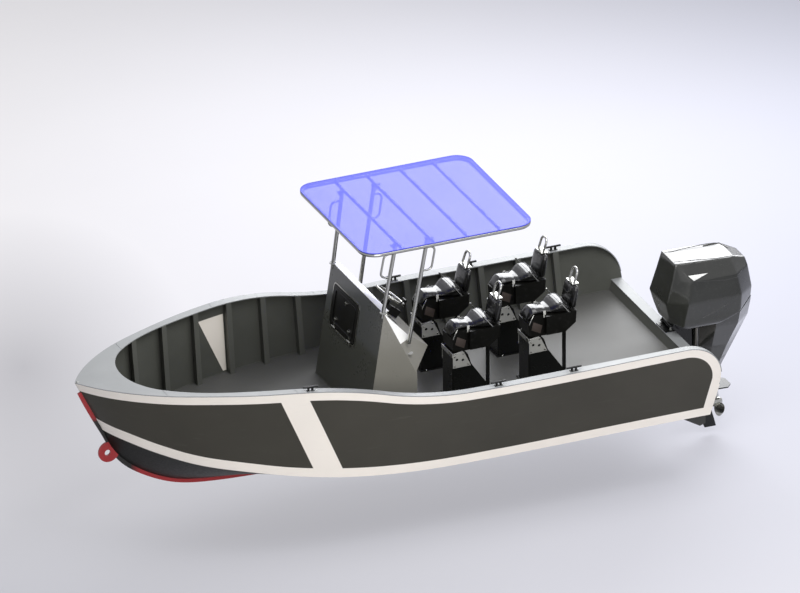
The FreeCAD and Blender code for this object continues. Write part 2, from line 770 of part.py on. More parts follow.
bar_out = beside(bar_line, num("keel_bar_deep"), 0)
bar_in = beside(bar_line, -num("keel_bar_deep"), 0)
bar_face = Part.Face(Part.Wire([curve(bar_out), line(bar_out[-1], bar_in[-1]), curve(bar_in[::-1]),
                                line(bar_in[0], bar_out[0])]))
bar = drawn_out("keel_bar_strip", bar_face, V(0, 1, 0), size("keel_bar_wide"))
eye_z = size("tow_eye_z")
stem_a = RULINGS[0]
stem_b = RULINGS[1]
stem_slope = (stem_a[5] - stem_b[5]) / (stem_a[6] - stem_b[6])
eye_x = (eye_z - stem_b[6]) * stem_slope + stem_b[5] + size("tow_eye_out")
eye = body_at("towing_eye")
pad_round(eye, "XZ", [(eye_x, eye_z)], size("tow_eye_radius"), size("keel_bar_wide"))
eye_hole = body_at("towing_hole")
pad_round(eye_hole, "XZ", [(eye_x + size("tow_hole_out"), eye_z - size("tow_hole_drop"))],
          size("tow_hole_radius"), size("keel_bar_wide") * 3)
bar = cut("keel_bar_drilled", fuse("keel_bar_and_eye", [bar, eye]), eye_hole)
keep(cut("keel_bar_form", bar, outer), "keel_bar")

# stern fins under the chines
fin_x = size("fin_inset") - half_length
fin_root = size("stern_low_z") - 40
fin_low = fin_root - size("fin_deep")
fin_front = fin_x + size("fin_long") + 30
body = body_at("fin_blank")
pad(body, "XZ", [(fin_x, as_size(0)), (fin_front, as_size(0)), (fin_front, fin_root), (fin_x + 70, fin_low),
                 (fin_x + 6, fin_low + 22)], size("fin_thick"), -size("fin_off"))
fin = cut("fin_port", body, outer)
keep(group("fin_pair", [fin, mirror("fin_starboard", fin)]), "stern_fins")

# cleats on the gunwale cap
horn_z = size("cleat_rise")
horn = body_at("cleat_blank")
pad(horn, "XY", [(-45, -20), (45, -20), (45, 20), (-45, 20)], size("cleat_foot") * 2)
pad_round(horn, "XY", [(-size("cleat_spread") / 2, 0), (size("cleat_spread") / 2, 0)], size("cleat_post"),
          horn_z, horn_z / 2)
pad_round(horn, "YZ", [(0, horn_z)], size("cleat_horn"), size("cleat_long"))
# columns: x, side of the boat
CLEATS = [(1258, 1), (-850, 1), (-1735, 1), (-850, -1), (-1735, -1), (-2720, -1)]
cleats = []
for i, (x, side) in enumerate(CLEATS):
    x = x * STRETCH
    back = step_x1 - x
    on_arc = 0 < back < step_long / 2
    z = step_z1 - step_radius + math.sqrt(step_radius * step_radius - back * back) if on_arc else step_z2
    tilt = math.degrees(back / step_radius) if on_arc else 0
    link = doc.addObject("App::Link", "cleat_%d" % (i + 1))
    link.LinkedObject = horn
    link.Placement = Placement(V(x, side * (breadth(x) - cap_width / 2), z), Rotation(V(0, 1, 0), -tilt))
    cleats.append(link)
keep(cut("cleats_form", group("cleat_places", cleats), trimmed), "cleats")

# Console
FRONT_X = num("console_foot_x")
HEAD_X = num("console_top_x")
HEAD_Z = num("console_top_z")
BREAK = V(num("dash_break_x"), 0, num("dash_break_z"))
TIP = V(num("dash_tip_x"), 0, num("dash_tip_z"))
side = num("console_half")
body = body_at("console_section")
pad(body, "XZ", [
    (size("console_foot_x"), deck_top), (size("console_top_x"), size("console_top_z")),
    (size("dash_break_x"), size("dash_break_z")), (size("dash_tip_x"), size("dash_tip_z")),
    (size("knee_x"), size("knee_z")), (size("knee_x"), deck_top)], size("console_half") * 2)
# the upper corners are bevelled between the dash and the side
bevel_a = V(HEAD_X, side, HEAD_Z)
bevel_b = V(BREAK.x, side - num("bevel_side"), BREAK.z + 4)
bevel_c = V(0, side, num("bevel_low_z"))
bevel = (bevel_b - bevel_a).cross(bevel_c - bevel_a).normalize()
if bevel.y < 0:
    bevel = bevel * -1
cutter_size = HEAD_Z * 2
corner_form = doc.addObject("Part::Box", "console_corner")
corner_long = size("console_top_z") * 2
bind(corner_form, Length=corner_long, Width=corner_long, Height=size("console_half"))
turn = Rotation(V(0, 0, 1), bevel)
corner_form.Placement = Placement(bevel_a - turn.multVec(V(cutter_size / 2, cutter_size / 2, 0)), turn)
console_outer = cut("console_form", cut("console_port_bevel", body, corner_form),
                    mirror("console_corner_starboard", corner_form))


def console_void(wall):
    """Space inside the console, a wall's thickness in from each face and open at the deck."""
    corners = [V(FRONT_X, 0, DECK), V(HEAD_X, 0, HEAD_Z), BREAK, TIP, V(num("knee_x"), 0, num("knee_z")),
               V(num("knee_x"), 0, DECK)]
    wire = Part.makePolygon(corners + corners[:1]).makeOffset2D(-wall)
    half = side - wall
    space = Part.Face(wire).extrude(V(0, 2 * half, 0)).translated(V(0, -half, 0))
    long = FRONT_X - num("knee_x") - 2 * wall - 3
    space = space.fuse(Part.makeBox(long, 2 * half, 30 + wall, V(num("knee_x") + wall, -half, DECK - wall)))
    for hand in (1, -1):
        flat = V(bevel.x, bevel.y * hand, bevel.z)
        inward = V(bevel_a.x, bevel_a.y * hand, bevel_a.z) - flat * wall
        slab = Part.makeBox(cutter_size, cutter_size, side, V(-cutter_size / 2, -cutter_size / 2, 0))
        slab.Placement = Placement(inward, Rotation(V(0, 0, 1), flat))
        space = space.cut(slab)
    return space


walls = cut("console_walls", console_outer, fixed("console_space", console_void(num("console_wall"))))

# On the console front, x runs to port, y up the slope and z straight out of it
lean = math.atan2(FRONT_X - HEAD_X, HEAD_Z - DECK)
front = Placement(V(FRONT_X, 0, DECK), Rotation(V(0, 1, 0), V(-math.sin(lean), 0, math.cos(lean)),
                                                V(math.cos(lean), 0, math.sin(lean)), "XYZ"))
LEVEL = V(0, 0, 1)
hatch_y = -size("hatch_off")
hatch_half = size("hatch_wide") / 2
hatch_s0 = size("hatch_low")
hatch_s1 = hatch_s0 + size("hatch_tall")
proud = size("hatch_proud")


def hatch_plate(label, grow, out0, out1):
    """Rounded plate on the console front, larger than the hatch by grow."""
    made = body_at(label, front)
    x0 = hatch_y - hatch_half - grow
    x1 = hatch_y + hatch_half + grow
    low = hatch_s0 - grow
    high = hatch_s1 + grow
    pad(made, "XY", [(x0, low), (x1, low), (x1, high), (x0, high)], out1 - out0, (out0 + out1) / 2)
    dress(made, "Fillet", runs_along(LEVEL), size("hatch_round") + grow)
    return made


gap = size("hatch_gap")
rim_edge = gap + size("rim_wide")
opening = hatch_plate("hatch_opening", gap, as_size(-60), as_size(40))
keep(cut("console_shell_form", walls, opening), "console_shell")
rim = hatch_plate("rim_plate", rim_edge, as_size(0), size("rim_thick"))
keep(cut("hatch_rim_form", rim, opening), "hatch_rim")
hatch = hatch_plate("hatch_plate", as_size(0), proud - size("hatch_thick"), proud)
press = size("hatch_press")
dish = size("hatch_dish")
x0 = hatch_y - hatch_half + press
x1 = hatch_y + hatch_half - press
pocket(hatch, "XY", [(x0, hatch_s0 + press), (x1, hatch_s0 + press), (x1, hatch_s1 - press),
                     (x0, hatch_s1 - press)], dish * 2, proud)
keep(hatch, "console_hatch")

# latches: two near the lower edge and one near the upper
latch_in = press + 32
latch_z = proud - dish
latch_thick = size("latch_thick")
latch_spots = [(hatch_y + 16, hatch_s1 - latch_in), (hatch_y - 185, hatch_s0 + latch_in),
               (hatch_y + 160, hatch_s0 + latch_in)]
latches = body_at("latch_discs", front)
pad_round(latches, "XY", latch_spots, size("latch_radius"), latch_thick, latch_z + latch_thick / 2)
for spot_x, spot_y in latch_spots:
    bar_half = size("latch_radius") - 4
    pad(latches, "XY", [(spot_x - bar_half, spot_y - 5), (spot_x + bar_half, spot_y - 5),
                        (spot_x + bar_half, spot_y + 5), (spot_x - bar_half, spot_y + 5)],
        latch_thick, latch_z + latch_thick)
keep(latches, "hatch_latches")

# hinges along the hatch's lower edge: knuckles on the console and on the hatch
pin_s = hatch_s0 - 4
pin_out = size("barrel_out")
leaf_mid = proud + size("leaf") / 2
leaf_half = size("leaf") / 2
knuckle = as_size(22)
leaf_gap = 0.5


def knuckles(made, centre, long, away):
    """One barrel and its leaf, which reaches away from the pin by away."""
    pad_round(made, "YZ", [(pin_s, pin_out)], size("barrel"), long, centre)
    pad(made, "YZ", [(pin_s, leaf_mid - leaf_half), (pin_s + away, leaf_mid - leaf_half),
                     (pin_s + away, leaf_mid + leaf_half), (pin_s, leaf_mid + leaf_half)], long, centre)


hinges = body_at("hinge_tray", front)
tray_half = size("hinge_spread") / 2 + 50
tray_top = hatch_s0 - rim_edge
pad(hinges, "XY", [(hatch_y - tray_half, tray_top - 30), (hatch_y + tray_half, tray_top - 30),
                   (hatch_y + tray_half, tray_top), (hatch_y - tray_half, tray_top)], proud, proud / 2)
leaves = body_at("hinge_leaves", front)
for hinge_way in (-1, 1):
    middle = hatch_y + size("hinge_spread") / 2 * hinge_way
    for knuckle_way in (-1, 1):
        knuckles(hinges, middle + (knuckle * 1.5 + leaf_gap) * knuckle_way, knuckle, -size("leaf_long"))
    knuckles(leaves, middle, knuckle * 2, size("leaf_long"))
keep(hinges, "hatch_hinges")
keep(leaves, "hatch_leaves")

# Steering wheel and its housing on the lower dash panel
centre = V(num("wheel_x"), -num("wheel_off"), num("wheel_z"))
run = (BREAK - TIP).normalize()
up = V(-run.z, 0, run.x)
stand = (V(centre.x, 0, centre.z) - TIP).dot(up)
foot = centre - up * stand
hub_back = 34
hub_long = 26
shaft_back = 80
wheel = [
    primitive("Torus", "wheel_rim", along(centre, centre + up), Radius1=size("wheel_radius"),
              Radius2=size("wheel_rim")),
    primitive("Cylinder", "wheel_hub", along(centre - up * hub_back, centre), Radius=size("wheel_hub"),
              Height=hub_long),
    primitive("Cylinder", "wheel_shaft", along(centre - up * shaft_back, centre), Radius=size("wheel_shaft"),
              Height=shaft_back - 20),
]
for k in range(3):
    turn = math.radians(90 + 120 * k)
    out = run * math.cos(turn) + V(0, 1, 0) * math.sin(turn)
    spoke_foot = centre + (out - up) * 20
    wheel.append(rod("wheel_spoke_%d" % (k + 1), spoke_foot, centre + out * num("wheel_radius"), size("spoke")))
keep(fuse("helm_wheel_form", wheel), "helm_wheel")
housing = primitive("Cone", "housing_cone", along(foot, centre), Radius1=size("helm_foot"),
                    Radius2=size("helm_head"), Height=stand - hub_back - 8)
bore_hole = primitive("Cylinder", "housing_bore", along(centre - up * (shaft_back + 1), centre),
                      Radius=size("wheel_shaft") + 0.5, Height=shaft_back)
keep(cut("helm_housing_form", housing, bore_hole), "helm_housing")

# Throttle box and lever to port of the wheel
box_foot = foot + V(0, -num("lever_off") - foot.y, 0) + run * 40
lever_box = primitive("Box", "lever_box",
                      Placement(box_foot - run * (num("lever_box") / 2) - V(0, num("lever_half"), 0),
                                Rotation(run, V(0, 1, 0), up, "ZYX")),
                      Length=size("lever_box"), Width=size("lever_half") * 2, Height=size("lever_tall"))
lever_low = box_foot + up * (num("lever_tall") - 30)
lever_top = lever_low + up * num("lever_long") - run * 40
grip_side = V(0, num("lever_half"), 0)
lever = rod("lever_rod", lever_low, lever_top, size("lever_rod"))
grip = rod("lever_grip", lever_top - grip_side, lever_top + grip_side, size("lever_grip"))
keep(cut("throttle_form", fuse("throttle_whole", [lever_box, lever, grip]), console_outer), "throttle")

# Instruments on the upper dash: x runs to starboard, y up the slope
head = V(HEAD_X, 0, HEAD_Z)
rise = (head - BREAK).normalize()
dash_turn = Rotation(V(0, -1, 0), rise, V(-rise.z, 0, rise.x), "XYZ")
panel = body_at("instrument_plates", Placement(BREAK, dash_turn))
# columns: starboard from, starboard to, up the slope from, to, thickness
SCREENS = [(160, 480, 110, 360, 14), (-120, 80, 150, 320, 10)]
for y0, y1, s0, s1, thick in SCREENS:
    pad(panel, "XY", [(y0, s0), (y1, s0), (y1, s1), (y0, s1)], as_size(thick), as_size(thick / 2.0))
keep(panel, "instrument_panel")

# Top on its frame of tube
top_z = size("top_z")
tube_r = num("frame_tube")
frame_z = num("top_z") - num("top_panel") - tube_r
x0 = size("top_aft_x")
x1 = size("top_front_x")
half = size("top_half")
top = body_at("top_sheet")
sheet_thick = size("top_panel")
pad(top, "XY", [(x0, -half), (x1, -half), (x1, half), (x0, half)], sheet_thick, top_z - sheet_thick / 2)
dress(top, "Fillet", runs_along(LEVEL), size("top_corner"))
keep(top, "top_panel")
fx0 = float(x0) + tube_r
fx1 = float(x1) - tube_r
fy = float(half) - tube_r
start = V((fx0 + fx1) / 2, -fy, frame_z)
loop = [start, V(fx1, -fy, frame_z), V(fx1, fy, frame_z), V(fx0, fy, frame_z), V(fx0, -fy, frame_z), start]
frame = tube("top_ring", loop, size("frame_tube"), num("top_corner") - tube_r)
bars = [num("leg_fwd_head_x"), num("leg_aft_head_x")]
bars += [bars[1] - num("bar_pitch"), bars[1] - 2 * num("bar_pitch")]
for i, x in enumerate(bars):
    frame.append(rod("top_bar_%d" % (i + 1), V(x, -fy, frame_z), V(x, fy, frame_z), size("bar_tube")))
top_frame = keep(fuse("top_frame_form", frame), "top_frame")

# columns: foot x, foot z, head x, way the grab handle faces
LEGS = [
    (num("leg_fwd_foot_x"), num("console_top_z") - 6, num("leg_fwd_head_x"), 1),
    (num("leg_aft_foot_x"), num("dash_break_z") - 18, num("leg_aft_head_x"), -1),
]
legs = []
grabs = []
for foot_x, foot_z, head_x, way_out in LEGS:
    for hand in (1, -1):
        leg_foot_y = side - num("leg_inset")
        low = V(foot_x, hand * leg_foot_y, foot_z)
        high = V(head_x, hand * (leg_foot_y + num("leg_splay")), frame_z)
        way = (high - low).normalize()
        name = "leg_%d" % (len(legs) + 1)
        legs.append(rod(name, low - way * num("leg_sink"), high, size("leg_tube")))
        upper = high - way * num("grab_drop")
        lower = upper - way * num("grab_long")
        out = V(way_out * num("grab_out"), 0, 0)
        path = [upper, upper + out, lower + out, lower]
        runs = tube("grab_%s" % name, path, size("grab_tube"), num("grab_bend"))
        grabs.append(fuse("grab_%s_whole" % name, runs))
leg_set = group("leg_tubes", legs)
keep(cut("top_legs_form", cut("legs_on_console", leg_set, console_outer), top_frame), "top_legs")
keep(cut("grab_handles_form", group("grab_tubes", grabs), leg_set), "grab_handles")

# Seats: each piece is drawn once about a datum on the deck and copied to four
# places.  In a seat x runs forward from its datum and z up from the deck.
seat_aft = size("seat_fwd_x") - size("seat_pitch")
seat_off = size("seat_off")
PLACES = [(size("seat_fwd_x"), seat_off, deck_top), (size("seat_fwd_x"), -seat_off, deck_top),
          (seat_aft, seat_off, deck_top), (seat_aft, -seat_off, deck_top)]
seat_front = size("seat_front")
seat_heel = -size("seat_foot_aft")
tall = size("pedestal_tall")
ped = size("pedestal_half")
plate = size("cheek_plate")


def four(label, source):
    return keep(copies(label + "_place", source, PLACES), label)


pedestal = body_at("pedestal")
pad(pedestal, "XZ", [(seat_front, 0), (seat_front, tall), (40, tall), (0, size("heel_tall")), (seat_heel, 0)],
    ped * 2)
dress(pedestal, "Fillet", runs_along(LEVEL, lambda p: p.x > 200), as_size(18))
edge = size("flange_out")
pad(pedestal, "XY", [(seat_heel - edge, -ped - edge), (seat_front + edge, -ped - edge),
                     (seat_front + edge, ped + edge), (seat_heel - edge, ped + edge)],
    size("flange"), size("flange") / 2)
four("seat_pedestals", pedestal)

# suspension bracket: a cheek on each side of the pedestal and a web across its front
cheeks = body_at("cheeks")
for hand in (1, -1):
    pad(cheeks, "XZ", [(6, tall - 139), (seat_front, tall - 143), (seat_front, tall + 10), (135, tall + 30),
                       (88, tall + 33)], plate, (ped + plate / 2) * hand)
pad(cheeks, "XZ", [(seat_front, tall - 14), (seat_front + plate, tall - 14), (seat_front + plate, tall + 30),
                   (seat_front, tall + 30)], (ped + plate) * 2)
bore(cheeks, "XZ", [(170, tall - 47), (100, tall - 60)], size("cheek_hole"), ped * 4)
four("seat_side_plates", cheeks)

# pod: a narrow nose, wide hips and a neck that stands on the pedestal
pod_floor = size("pod_floor")
pod_top = size("saddle_z")
shelf = pod_top + 13
pod = body_at("pod")
pad(pod, "XZ", [(-150, pod_floor), (120, pod_floor), (208, pod_floor + 20), (222, pod_top - 78),
                (205, pod_top - 72), (150, pod_top), (-150, pod_top)], size("pod_half") * 2)
pad(pod, "XZ", [(-190, pod_floor + 23), (30, pod_floor + 23), (30, pod_top), (-258, pod_top), (-262, shelf),
                (-322, shelf), (-312, pod_floor + 115)], size("hip_half") * 2)
neck_top = pod_floor + 2
pad(pod, "XZ", [(60, tall), (200, tall), (200, neck_top), (60, neck_top)], size("pod_half") * 2 - 60)
four("seat_pods", pod)

# saddle: nose over the front of the pod, waist, and a hump between wide hips
rest = pod_top + size("soft_gap")
brow = rest + size("saddle_thick")
hump = rest + size("saddle_hump")
saddle = body_at("saddle")
pad(saddle, "XZ", [(153, rest), (208, rest - 72), (232, rest - 76), (163, brow), (30, brow - 6),
                   (-56, brow - 18), (-56, rest)], size("pod_half") * 2)
pad(saddle, "XZ", [(30, rest), (30, brow - 6), (-56, brow - 18), (-114, hump - 3), (-240, hump + 4),
                   (-254, hump - 12), (-256, rest)], size("hip_half") * 2)
four("seat_saddles", saddle)

back_top = size("back_top")
back_low = shelf + size("soft_gap")
back_aft = -320 - size("back_thick")
backrest = body_at("backrest")
pad(backrest, "XZ", [(-262, back_low), (-320, back_top), (back_aft, back_top), (-345, back_low)],
    size("back_half") * 2)
four("seat_backrests", backrest)

# loop of tube on a plate on top of the backrest
foot_z = back_top + 8
loop_x = -num("loop_back")
loop_z = num("loop_top") - num("loop_tube")
loop_y = num("loop_half")
base = body_at("loop_base")
base_wide = size("loop_half") * 2 + 46
pad(base, "XZ", [(-316, back_top), (-316, foot_z), (-392, foot_z), (-392, back_top)], base_wide)
loop_foot = float(back_top) + 4
hoop = tube("seat_loop", [V(-345, -loop_y, loop_foot), V(loop_x, -loop_y, loop_z), V(loop_x, loop_y, loop_z),
                          V(-345, loop_y, loop_foot)], size("loop_tube"), loop_y - 4)
four("seat_loops", fuse("seat_loop_whole", [base] + hoop))

# rear post from the pedestal's heel to the hips
post = body_at("post")
post_x = -size("post_x")
post_half = size("post_wide") / 2
pad(post, "XZ", [(post_x - post_half, 0), (post_x + post_half, 0), (post_x + post_half, pod_floor + 140),
                 (post_x - post_half, pod_floor + 140)], post_half * 2)
four("seat_struts", cut("post_on_pod", cut("post_on_pedestal", post, pedestal), pod))

# Outboard motor: x runs forward from the aft edge of the sides, z up from the
# tilt tube
motor_z = cap_top + size("pivot_rise")


def motor_body(label):
    made = doc.addObject("PartDesign::Body", label)
    bind(made, Placement__Base__x=-half_length, Placement__Base__z=motor_z)
    return made


pivot_x = size("pivot_in")
steer_x = pivot_x - size("steer_back")
run_gap = size("pivot_gap")
clamp_out = size("clamp_half")
clamp_thick = size("clamp_thick")
plate_z = cap_top - motor_z
head_r = size("cheek_head")
clamp = motor_body("clamp_cheeks")
pad(clamp, "XZ", [(18, plate_z), (pivot_x + head_r, plate_z), (pivot_x + head_r, 0), (pivot_x - head_r, 0),
                  (-48, -50), (-58, -120), (-34, -470), (100, -510), (100, plate_z)],
    clamp_thick, clamp_out - clamp_thick / 2)
pad_round(clamp, "XZ", [(pivot_x, 0)], head_r, clamp_thick, clamp_out - clamp_thick / 2)
bridge = motor_body("clamp_bridge")
bridge_end = coaming_front + half_length
bridge_top = plate_z + 12
pad(bridge, "XZ", [(18, plate_z), (bridge_end, plate_z), (bridge_end, bridge_top), (18, bridge_top)], clamp_out * 2)
tilt_bore = motor_body("tilt_bore")
pad_round(tilt_bore, "XZ", [(pivot_x, 0)], size("pivot_tube") + run_gap, clamp_out * 4)
stern_box = block("stern_space", (coaming_aft - lip, coaming_foot + 60), (-half_length, half_length),
                  (deck_top, cap_top))
clamp = fuse("clamp_whole", [clamp, mirror("clamp_cheek_starboard", clamp), bridge])
clamp = cut("clamp_bored", clamp, tilt_bore)
clamp = cut("clamp_on_hull", clamp, common("hull_below_deck_top", trimmed, block(
    "space_below_deck_top", (-reach, reach), (-half_length, half_length), (-half_length, deck_top))))
keep(cut("clamp_bracket_form", clamp, stern_box), "clamp_bracket")

# swivel bracket: two arms from the tilt tube to the steering tube, and a web down it
arm_out = size("swivel_half")
arm = size("swivel_arm")
steer_low = -size("steer_low")
steer_top = as_size(10)
swivel = motor_body("swivel_form")
steer_mid = (steer_top + steer_low) / 2
pad_round(swivel, "XY", [(steer_x, 0)], size("steer_tube"), steer_top - steer_low, steer_mid)
web = [(steer_x, steer_top), (steer_x, steer_low), (steer_x + 40, steer_low), (-12, -150), (-12, -30),
       (-40, steer_top)]
pad(swivel, "XZ", web, (arm_out - arm) * 2 + 10)
arm_head = 25
for hand in (1, -1):
    pad(swivel, "XZ", [(steer_x + 12, steer_top), (steer_x + 12, -200), (-14, -90), (-14, -arm_head),
                       (pivot_x, -arm_head), (pivot_x, arm_head), (pivot_x - 20, arm_head - 3),
                       (-60, steer_top)], arm, (arm_out - arm / 2) * hand)
pad_round(swivel, "XZ", [(pivot_x, 0)], as_size(arm_head), arm_out * 2)
pad_round(swivel, "XZ", [(pivot_x, 0)], size("pivot_tube"), (clamp_out + 8) * 2)
bore(swivel, "XY", [(steer_x, 0)], size("steer_shaft") + run_gap, as_size(2000))
keep(swivel, "swivel_bracket")

# the steered part hangs on the yoke's shaft and its two plates
cowl_foot = size("cowl_foot")
yoke_low = steer_low - 6
yoke = motor_body("yoke_form")
shaft_low = yoke_low - 34
shaft_top = cowl_foot - 1
pad_round(yoke, "XY", [(steer_x, 0)], size("steer_shaft"), shaft_top - shaft_low, (shaft_top + shaft_low) / 2)
yoke_outline = [(steer_x - 200, -60), (steer_x + 26, -60), (steer_x + 26, 60), (steer_x - 200, 60)]
pad(yoke, "XY", yoke_outline, as_size(18), shaft_top - 9)
pad(yoke, "XY", yoke_outline, as_size(40), yoke_low - 20)
yoke = keep(yoke, "steering_yoke")


def ring(aft, tail_corner, front, front_corner, half, nose_half, tail_half):
    """Eight corners of a level section."""
    return [(front, -nose_half), (front, nose_half), (front_corner, half), (tail_corner, half),
            (aft, tail_half), (aft, -tail_half), (tail_corner, -half), (front_corner, -half)]


# columns: height, aft, tail corner, front, front corner, half width, front half width, aft half width
COWL = [
    (35, -820, -630, 60, -60, 0.91, 100, 120), (80, -835, -645, 112, 15, 1.0, 112, 128),
    (170, -855, -660, 125, -10, 0.98, 205, 145), (340, -872, -670, 170, -60, 0.985, 230, 150),
    (590, -830, -630, 96, -110, 0.864, 210, 140), (800, -770, -560, 45, 0, 0.576, 187, 95),
]
cowl = motor_body("cowl_form")
loft(cowl, [(ring(a, tc, f, fc, size("cowl_half") * half, n, t), cowl_foot - 35 + z)
            for z, a, tc, f, fc, half, n, t in COWL])
cowl_top = size("cowl_top")
seam = [(-400, cowl_foot), (-1000, cowl_foot + 246), (-1000, cowl_foot - 80), (-400, cowl_foot - 80)]
pocket(cowl, "XZ", [(300, cowl_top), (53, cowl_top), (-630, cowl_top - 32), (-810, cowl_top - 105),
                    (-1100, cowl_top - 220), (-1100, cowl_top + 300), (300, cowl_top + 300)], as_size(2000))
pocket(cowl, "XZ", [(-5, cowl_top + 20), (-5, cowl_top - 9), (-560, cowl_top - 35), (-560, cowl_top + 20)],
       as_size(270))
pocket(cowl, "XZ", seam, as_size(2000))
block_low = cowl_foot + 20
block_top = size("block_top")
block_front = as_size(-160)
block_aft = block_front - size("block_long")
cavity = [(block_aft - 20, block_low), (block_front + 20, block_low), (block_front + 20, block_top + 20),
          (block_aft - 20, block_top + 20)]
cavity_wide = size("block_half") * 2 + 20
pocket(cowl, "XZ", cavity, cavity_wide)
keep(cowl, "engine_cowl")
engine = motor_body("block_form")
pad(engine, "XZ", [(block_aft, block_low), (block_front, block_low), (block_front, block_top),
                   (block_aft, block_top)], size("block_half") * 2)
keep(engine, "engine_block")

# columns: height, aft, tail corner, front, front corner, half width, front half width, aft half width
LEG = [
    (340, -872, -670, -275, -390, 0.985, 100, 150), (170, -855, -660, -275, -390, 0.98, 100, 145),
    (0, -832, -650, -275, -390, 0.86, 100, 120), (-300, -692, -570, -275, -390, 0.5, 90, 80),
    (-600, -548, -480, -275, -390, 0.27, 62, 42),
]
plate_top = -size("plate_drop")
leg = motor_body("midsection_form")
leg_rings = [(ring(a, tc, f, fc, size("cowl_half") * half, n, t), cowl_foot - 35 + z)
             for z, a, tc, f, fc, half, n, t in LEG]
leg_rings.append((ring(-490, -440, -275, -360, size("cowl_half") * 0.18, 42, 26), plate_top))
loft(leg, leg_rings)
pocket(leg, "XZ", [(0, cowl_foot), (-400, cowl_foot), (-1000, cowl_foot + 246), (-1000, cowl_foot + 600),
                   (0, cowl_foot + 600)], as_size(2000))
pocket(leg, "XZ", cavity, cavity_wide)
swing = motor_body("swing_space")
swing_low = yoke_low + 0.5
swing_top = shaft_top - 18
pad_round(swing, "XY", [(steer_x, 0)], arm_out + 12, swing_top - swing_low, (swing_top + swing_low) / 2)
leg = keep(cut("midsection_cleared", cut("midsection_on_yoke", leg, yoke), swing), "midsection")

# gearcase: plate above the propeller, strut, bullet and skeg
prop_x = steer_x - size("prop_back")
prop_z = -size("prop_drop")
skeg_z = -size("skeg_drop")
bullet = size("bullet")
gear = motor_body("gearcase_form")
pad(gear, "XY", [(-275, -42), (-275, 42), (-330, 120), (-600, 132), (-655, 70), (-655, -70), (-600, -132),
                 (-330, -120)], size("plate_thick"), plate_top - size("plate_thick") / 2)
loft(gear, [
    (ring(-470, -350, -270, -330, 62, 40, 25), plate_top - 2),
    (ring(-435, -330, -262, -320, 52, 25, 12), plate_top - 90),
    (ring(-430, -330, -242, -300, 46, 14, 8), prop_z + 20)])
pad(gear, "XZ", [(steer_x - 60, prop_z), (prop_x + 78, prop_z), (prop_x + 68, prop_z - 100),
                 (prop_x + 40, prop_z - 200), (prop_x + 18, skeg_z), (prop_x + 150, skeg_z)],
    size("skeg_thick"))
shell = motor_body("bullet_form")
bind(shell, Placement__Base__z=motor_z + prop_z)
revolve(shell, "XZ", [(prop_x + 70, 0), (prop_x + 70, bullet - 10), (prop_x + 90, bullet),
                      (prop_x + 330, bullet), (prop_x + 400, bullet - 16), (prop_x + 450, 16),
                      (prop_x + 450, 0)], "H_Axis")
shaft_bore = motor_body("shaft_bore")
bind(shaft_bore, Placement__Base__z=motor_z + prop_z)
revolve(shaft_bore, "XZ", [(prop_x + 60, 0), (prop_x + 60, size("prop_shaft") + 0.5),
                           (prop_x + 190, size("prop_shaft") + 0.5), (prop_x + 190, 0)], "H_Axis")
keep(cut("gearcase_bored", fuse("gearcase_whole", [gear, shell]), shaft_bore), "gearcase")

# propeller: hub, shaft and three swept blades with pitch, radial along z
screw = doc.addObject("PartDesign::Body", "screw_form")
bind(screw, Placement__Base__x=prop_x - half_length, Placement__Base__z=motor_z + prop_z)
hub = size("prop_hub")
revolve(screw, "XZ", [(170, 0), (170, size("prop_shaft")), (64, size("prop_shaft")), (64, hub),
                      (-20, hub - 8), (-46, hub - 20), (-46, 0)], "H_Axis")
axis_sketch = screw.Group[0]
# columns: share of the radius, chord half length, blade angle in degrees, half thickness
BLADE = [(0.23, 40, 62, 7), (0.55, 66, 40, 5), (0.86, 60, 29, 3.5), (1.0, 28, 25, 2)]
# columns: along the chord, across it
FOIL = [(-1, 0), (-0.4, 1), (0.5, 0.8), (1, 0), (0.5, -0.8), (-0.4, -1)]
sections = []
for share, chord, angle, thick in BLADE:
    ca = math.cos(math.radians(angle))
    sa = math.sin(math.radians(angle))
    corners = []
    for t, h in FOIL:
        corners.append((12 + t * chord * sa + h * thick * ca, t * chord * ca - h * thick * sa))
    sections.append(outline(screw, "XY", corners, size("prop_radius") * share))
blade = screw.newObject("PartDesign::AdditiveLoft", "blade")
blade.Profile = sections[0]
blade.Sections = sections[1:]
screw.Tip = blade
blades = screw.newObject("PartDesign::PolarPattern", "blades")
blades.Originals = [blade]
blades.Axis = (axis_sketch, ["H_Axis"])
blades.Angle = 360
blades.Occurrences = 3
screw.Tip = blades
keep(screw, "propeller")
doc.recompute()

bad = []
for obj in doc.Objects:
    for word in ("Invalid", "Error"):
        if word in obj.State:
            bad.append(obj.Name)
for obj in nodes:
    if obj.Shape.isNull() or not obj.Shape.isValid() or not obj.Shape.Solids:
        bad.append(obj.Label)
if bad:
    raise RuntimeError("failed: " + ", ".join(bad))
total = 0.0
for obj in nodes:
    volume = sum(s.Volume for s in obj.Shape.Solids) / 1e6
    total += volume
    print(obj.Label, len(obj.Shape.Solids), round(volume, 2))
print("nodes", len(nodes), "solid volume", round(total / 1000.0, 3), "m3")
os.makedirs("parts", exist_ok=True)
for obj in nodes:
    obj.Shape.exportStep("parts/%s.step" % obj.Label)
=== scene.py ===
import json
import math

import bmesh
import bpy
from mathutils import Matrix, Vector
from mathutils.bvhtree import BVHTree


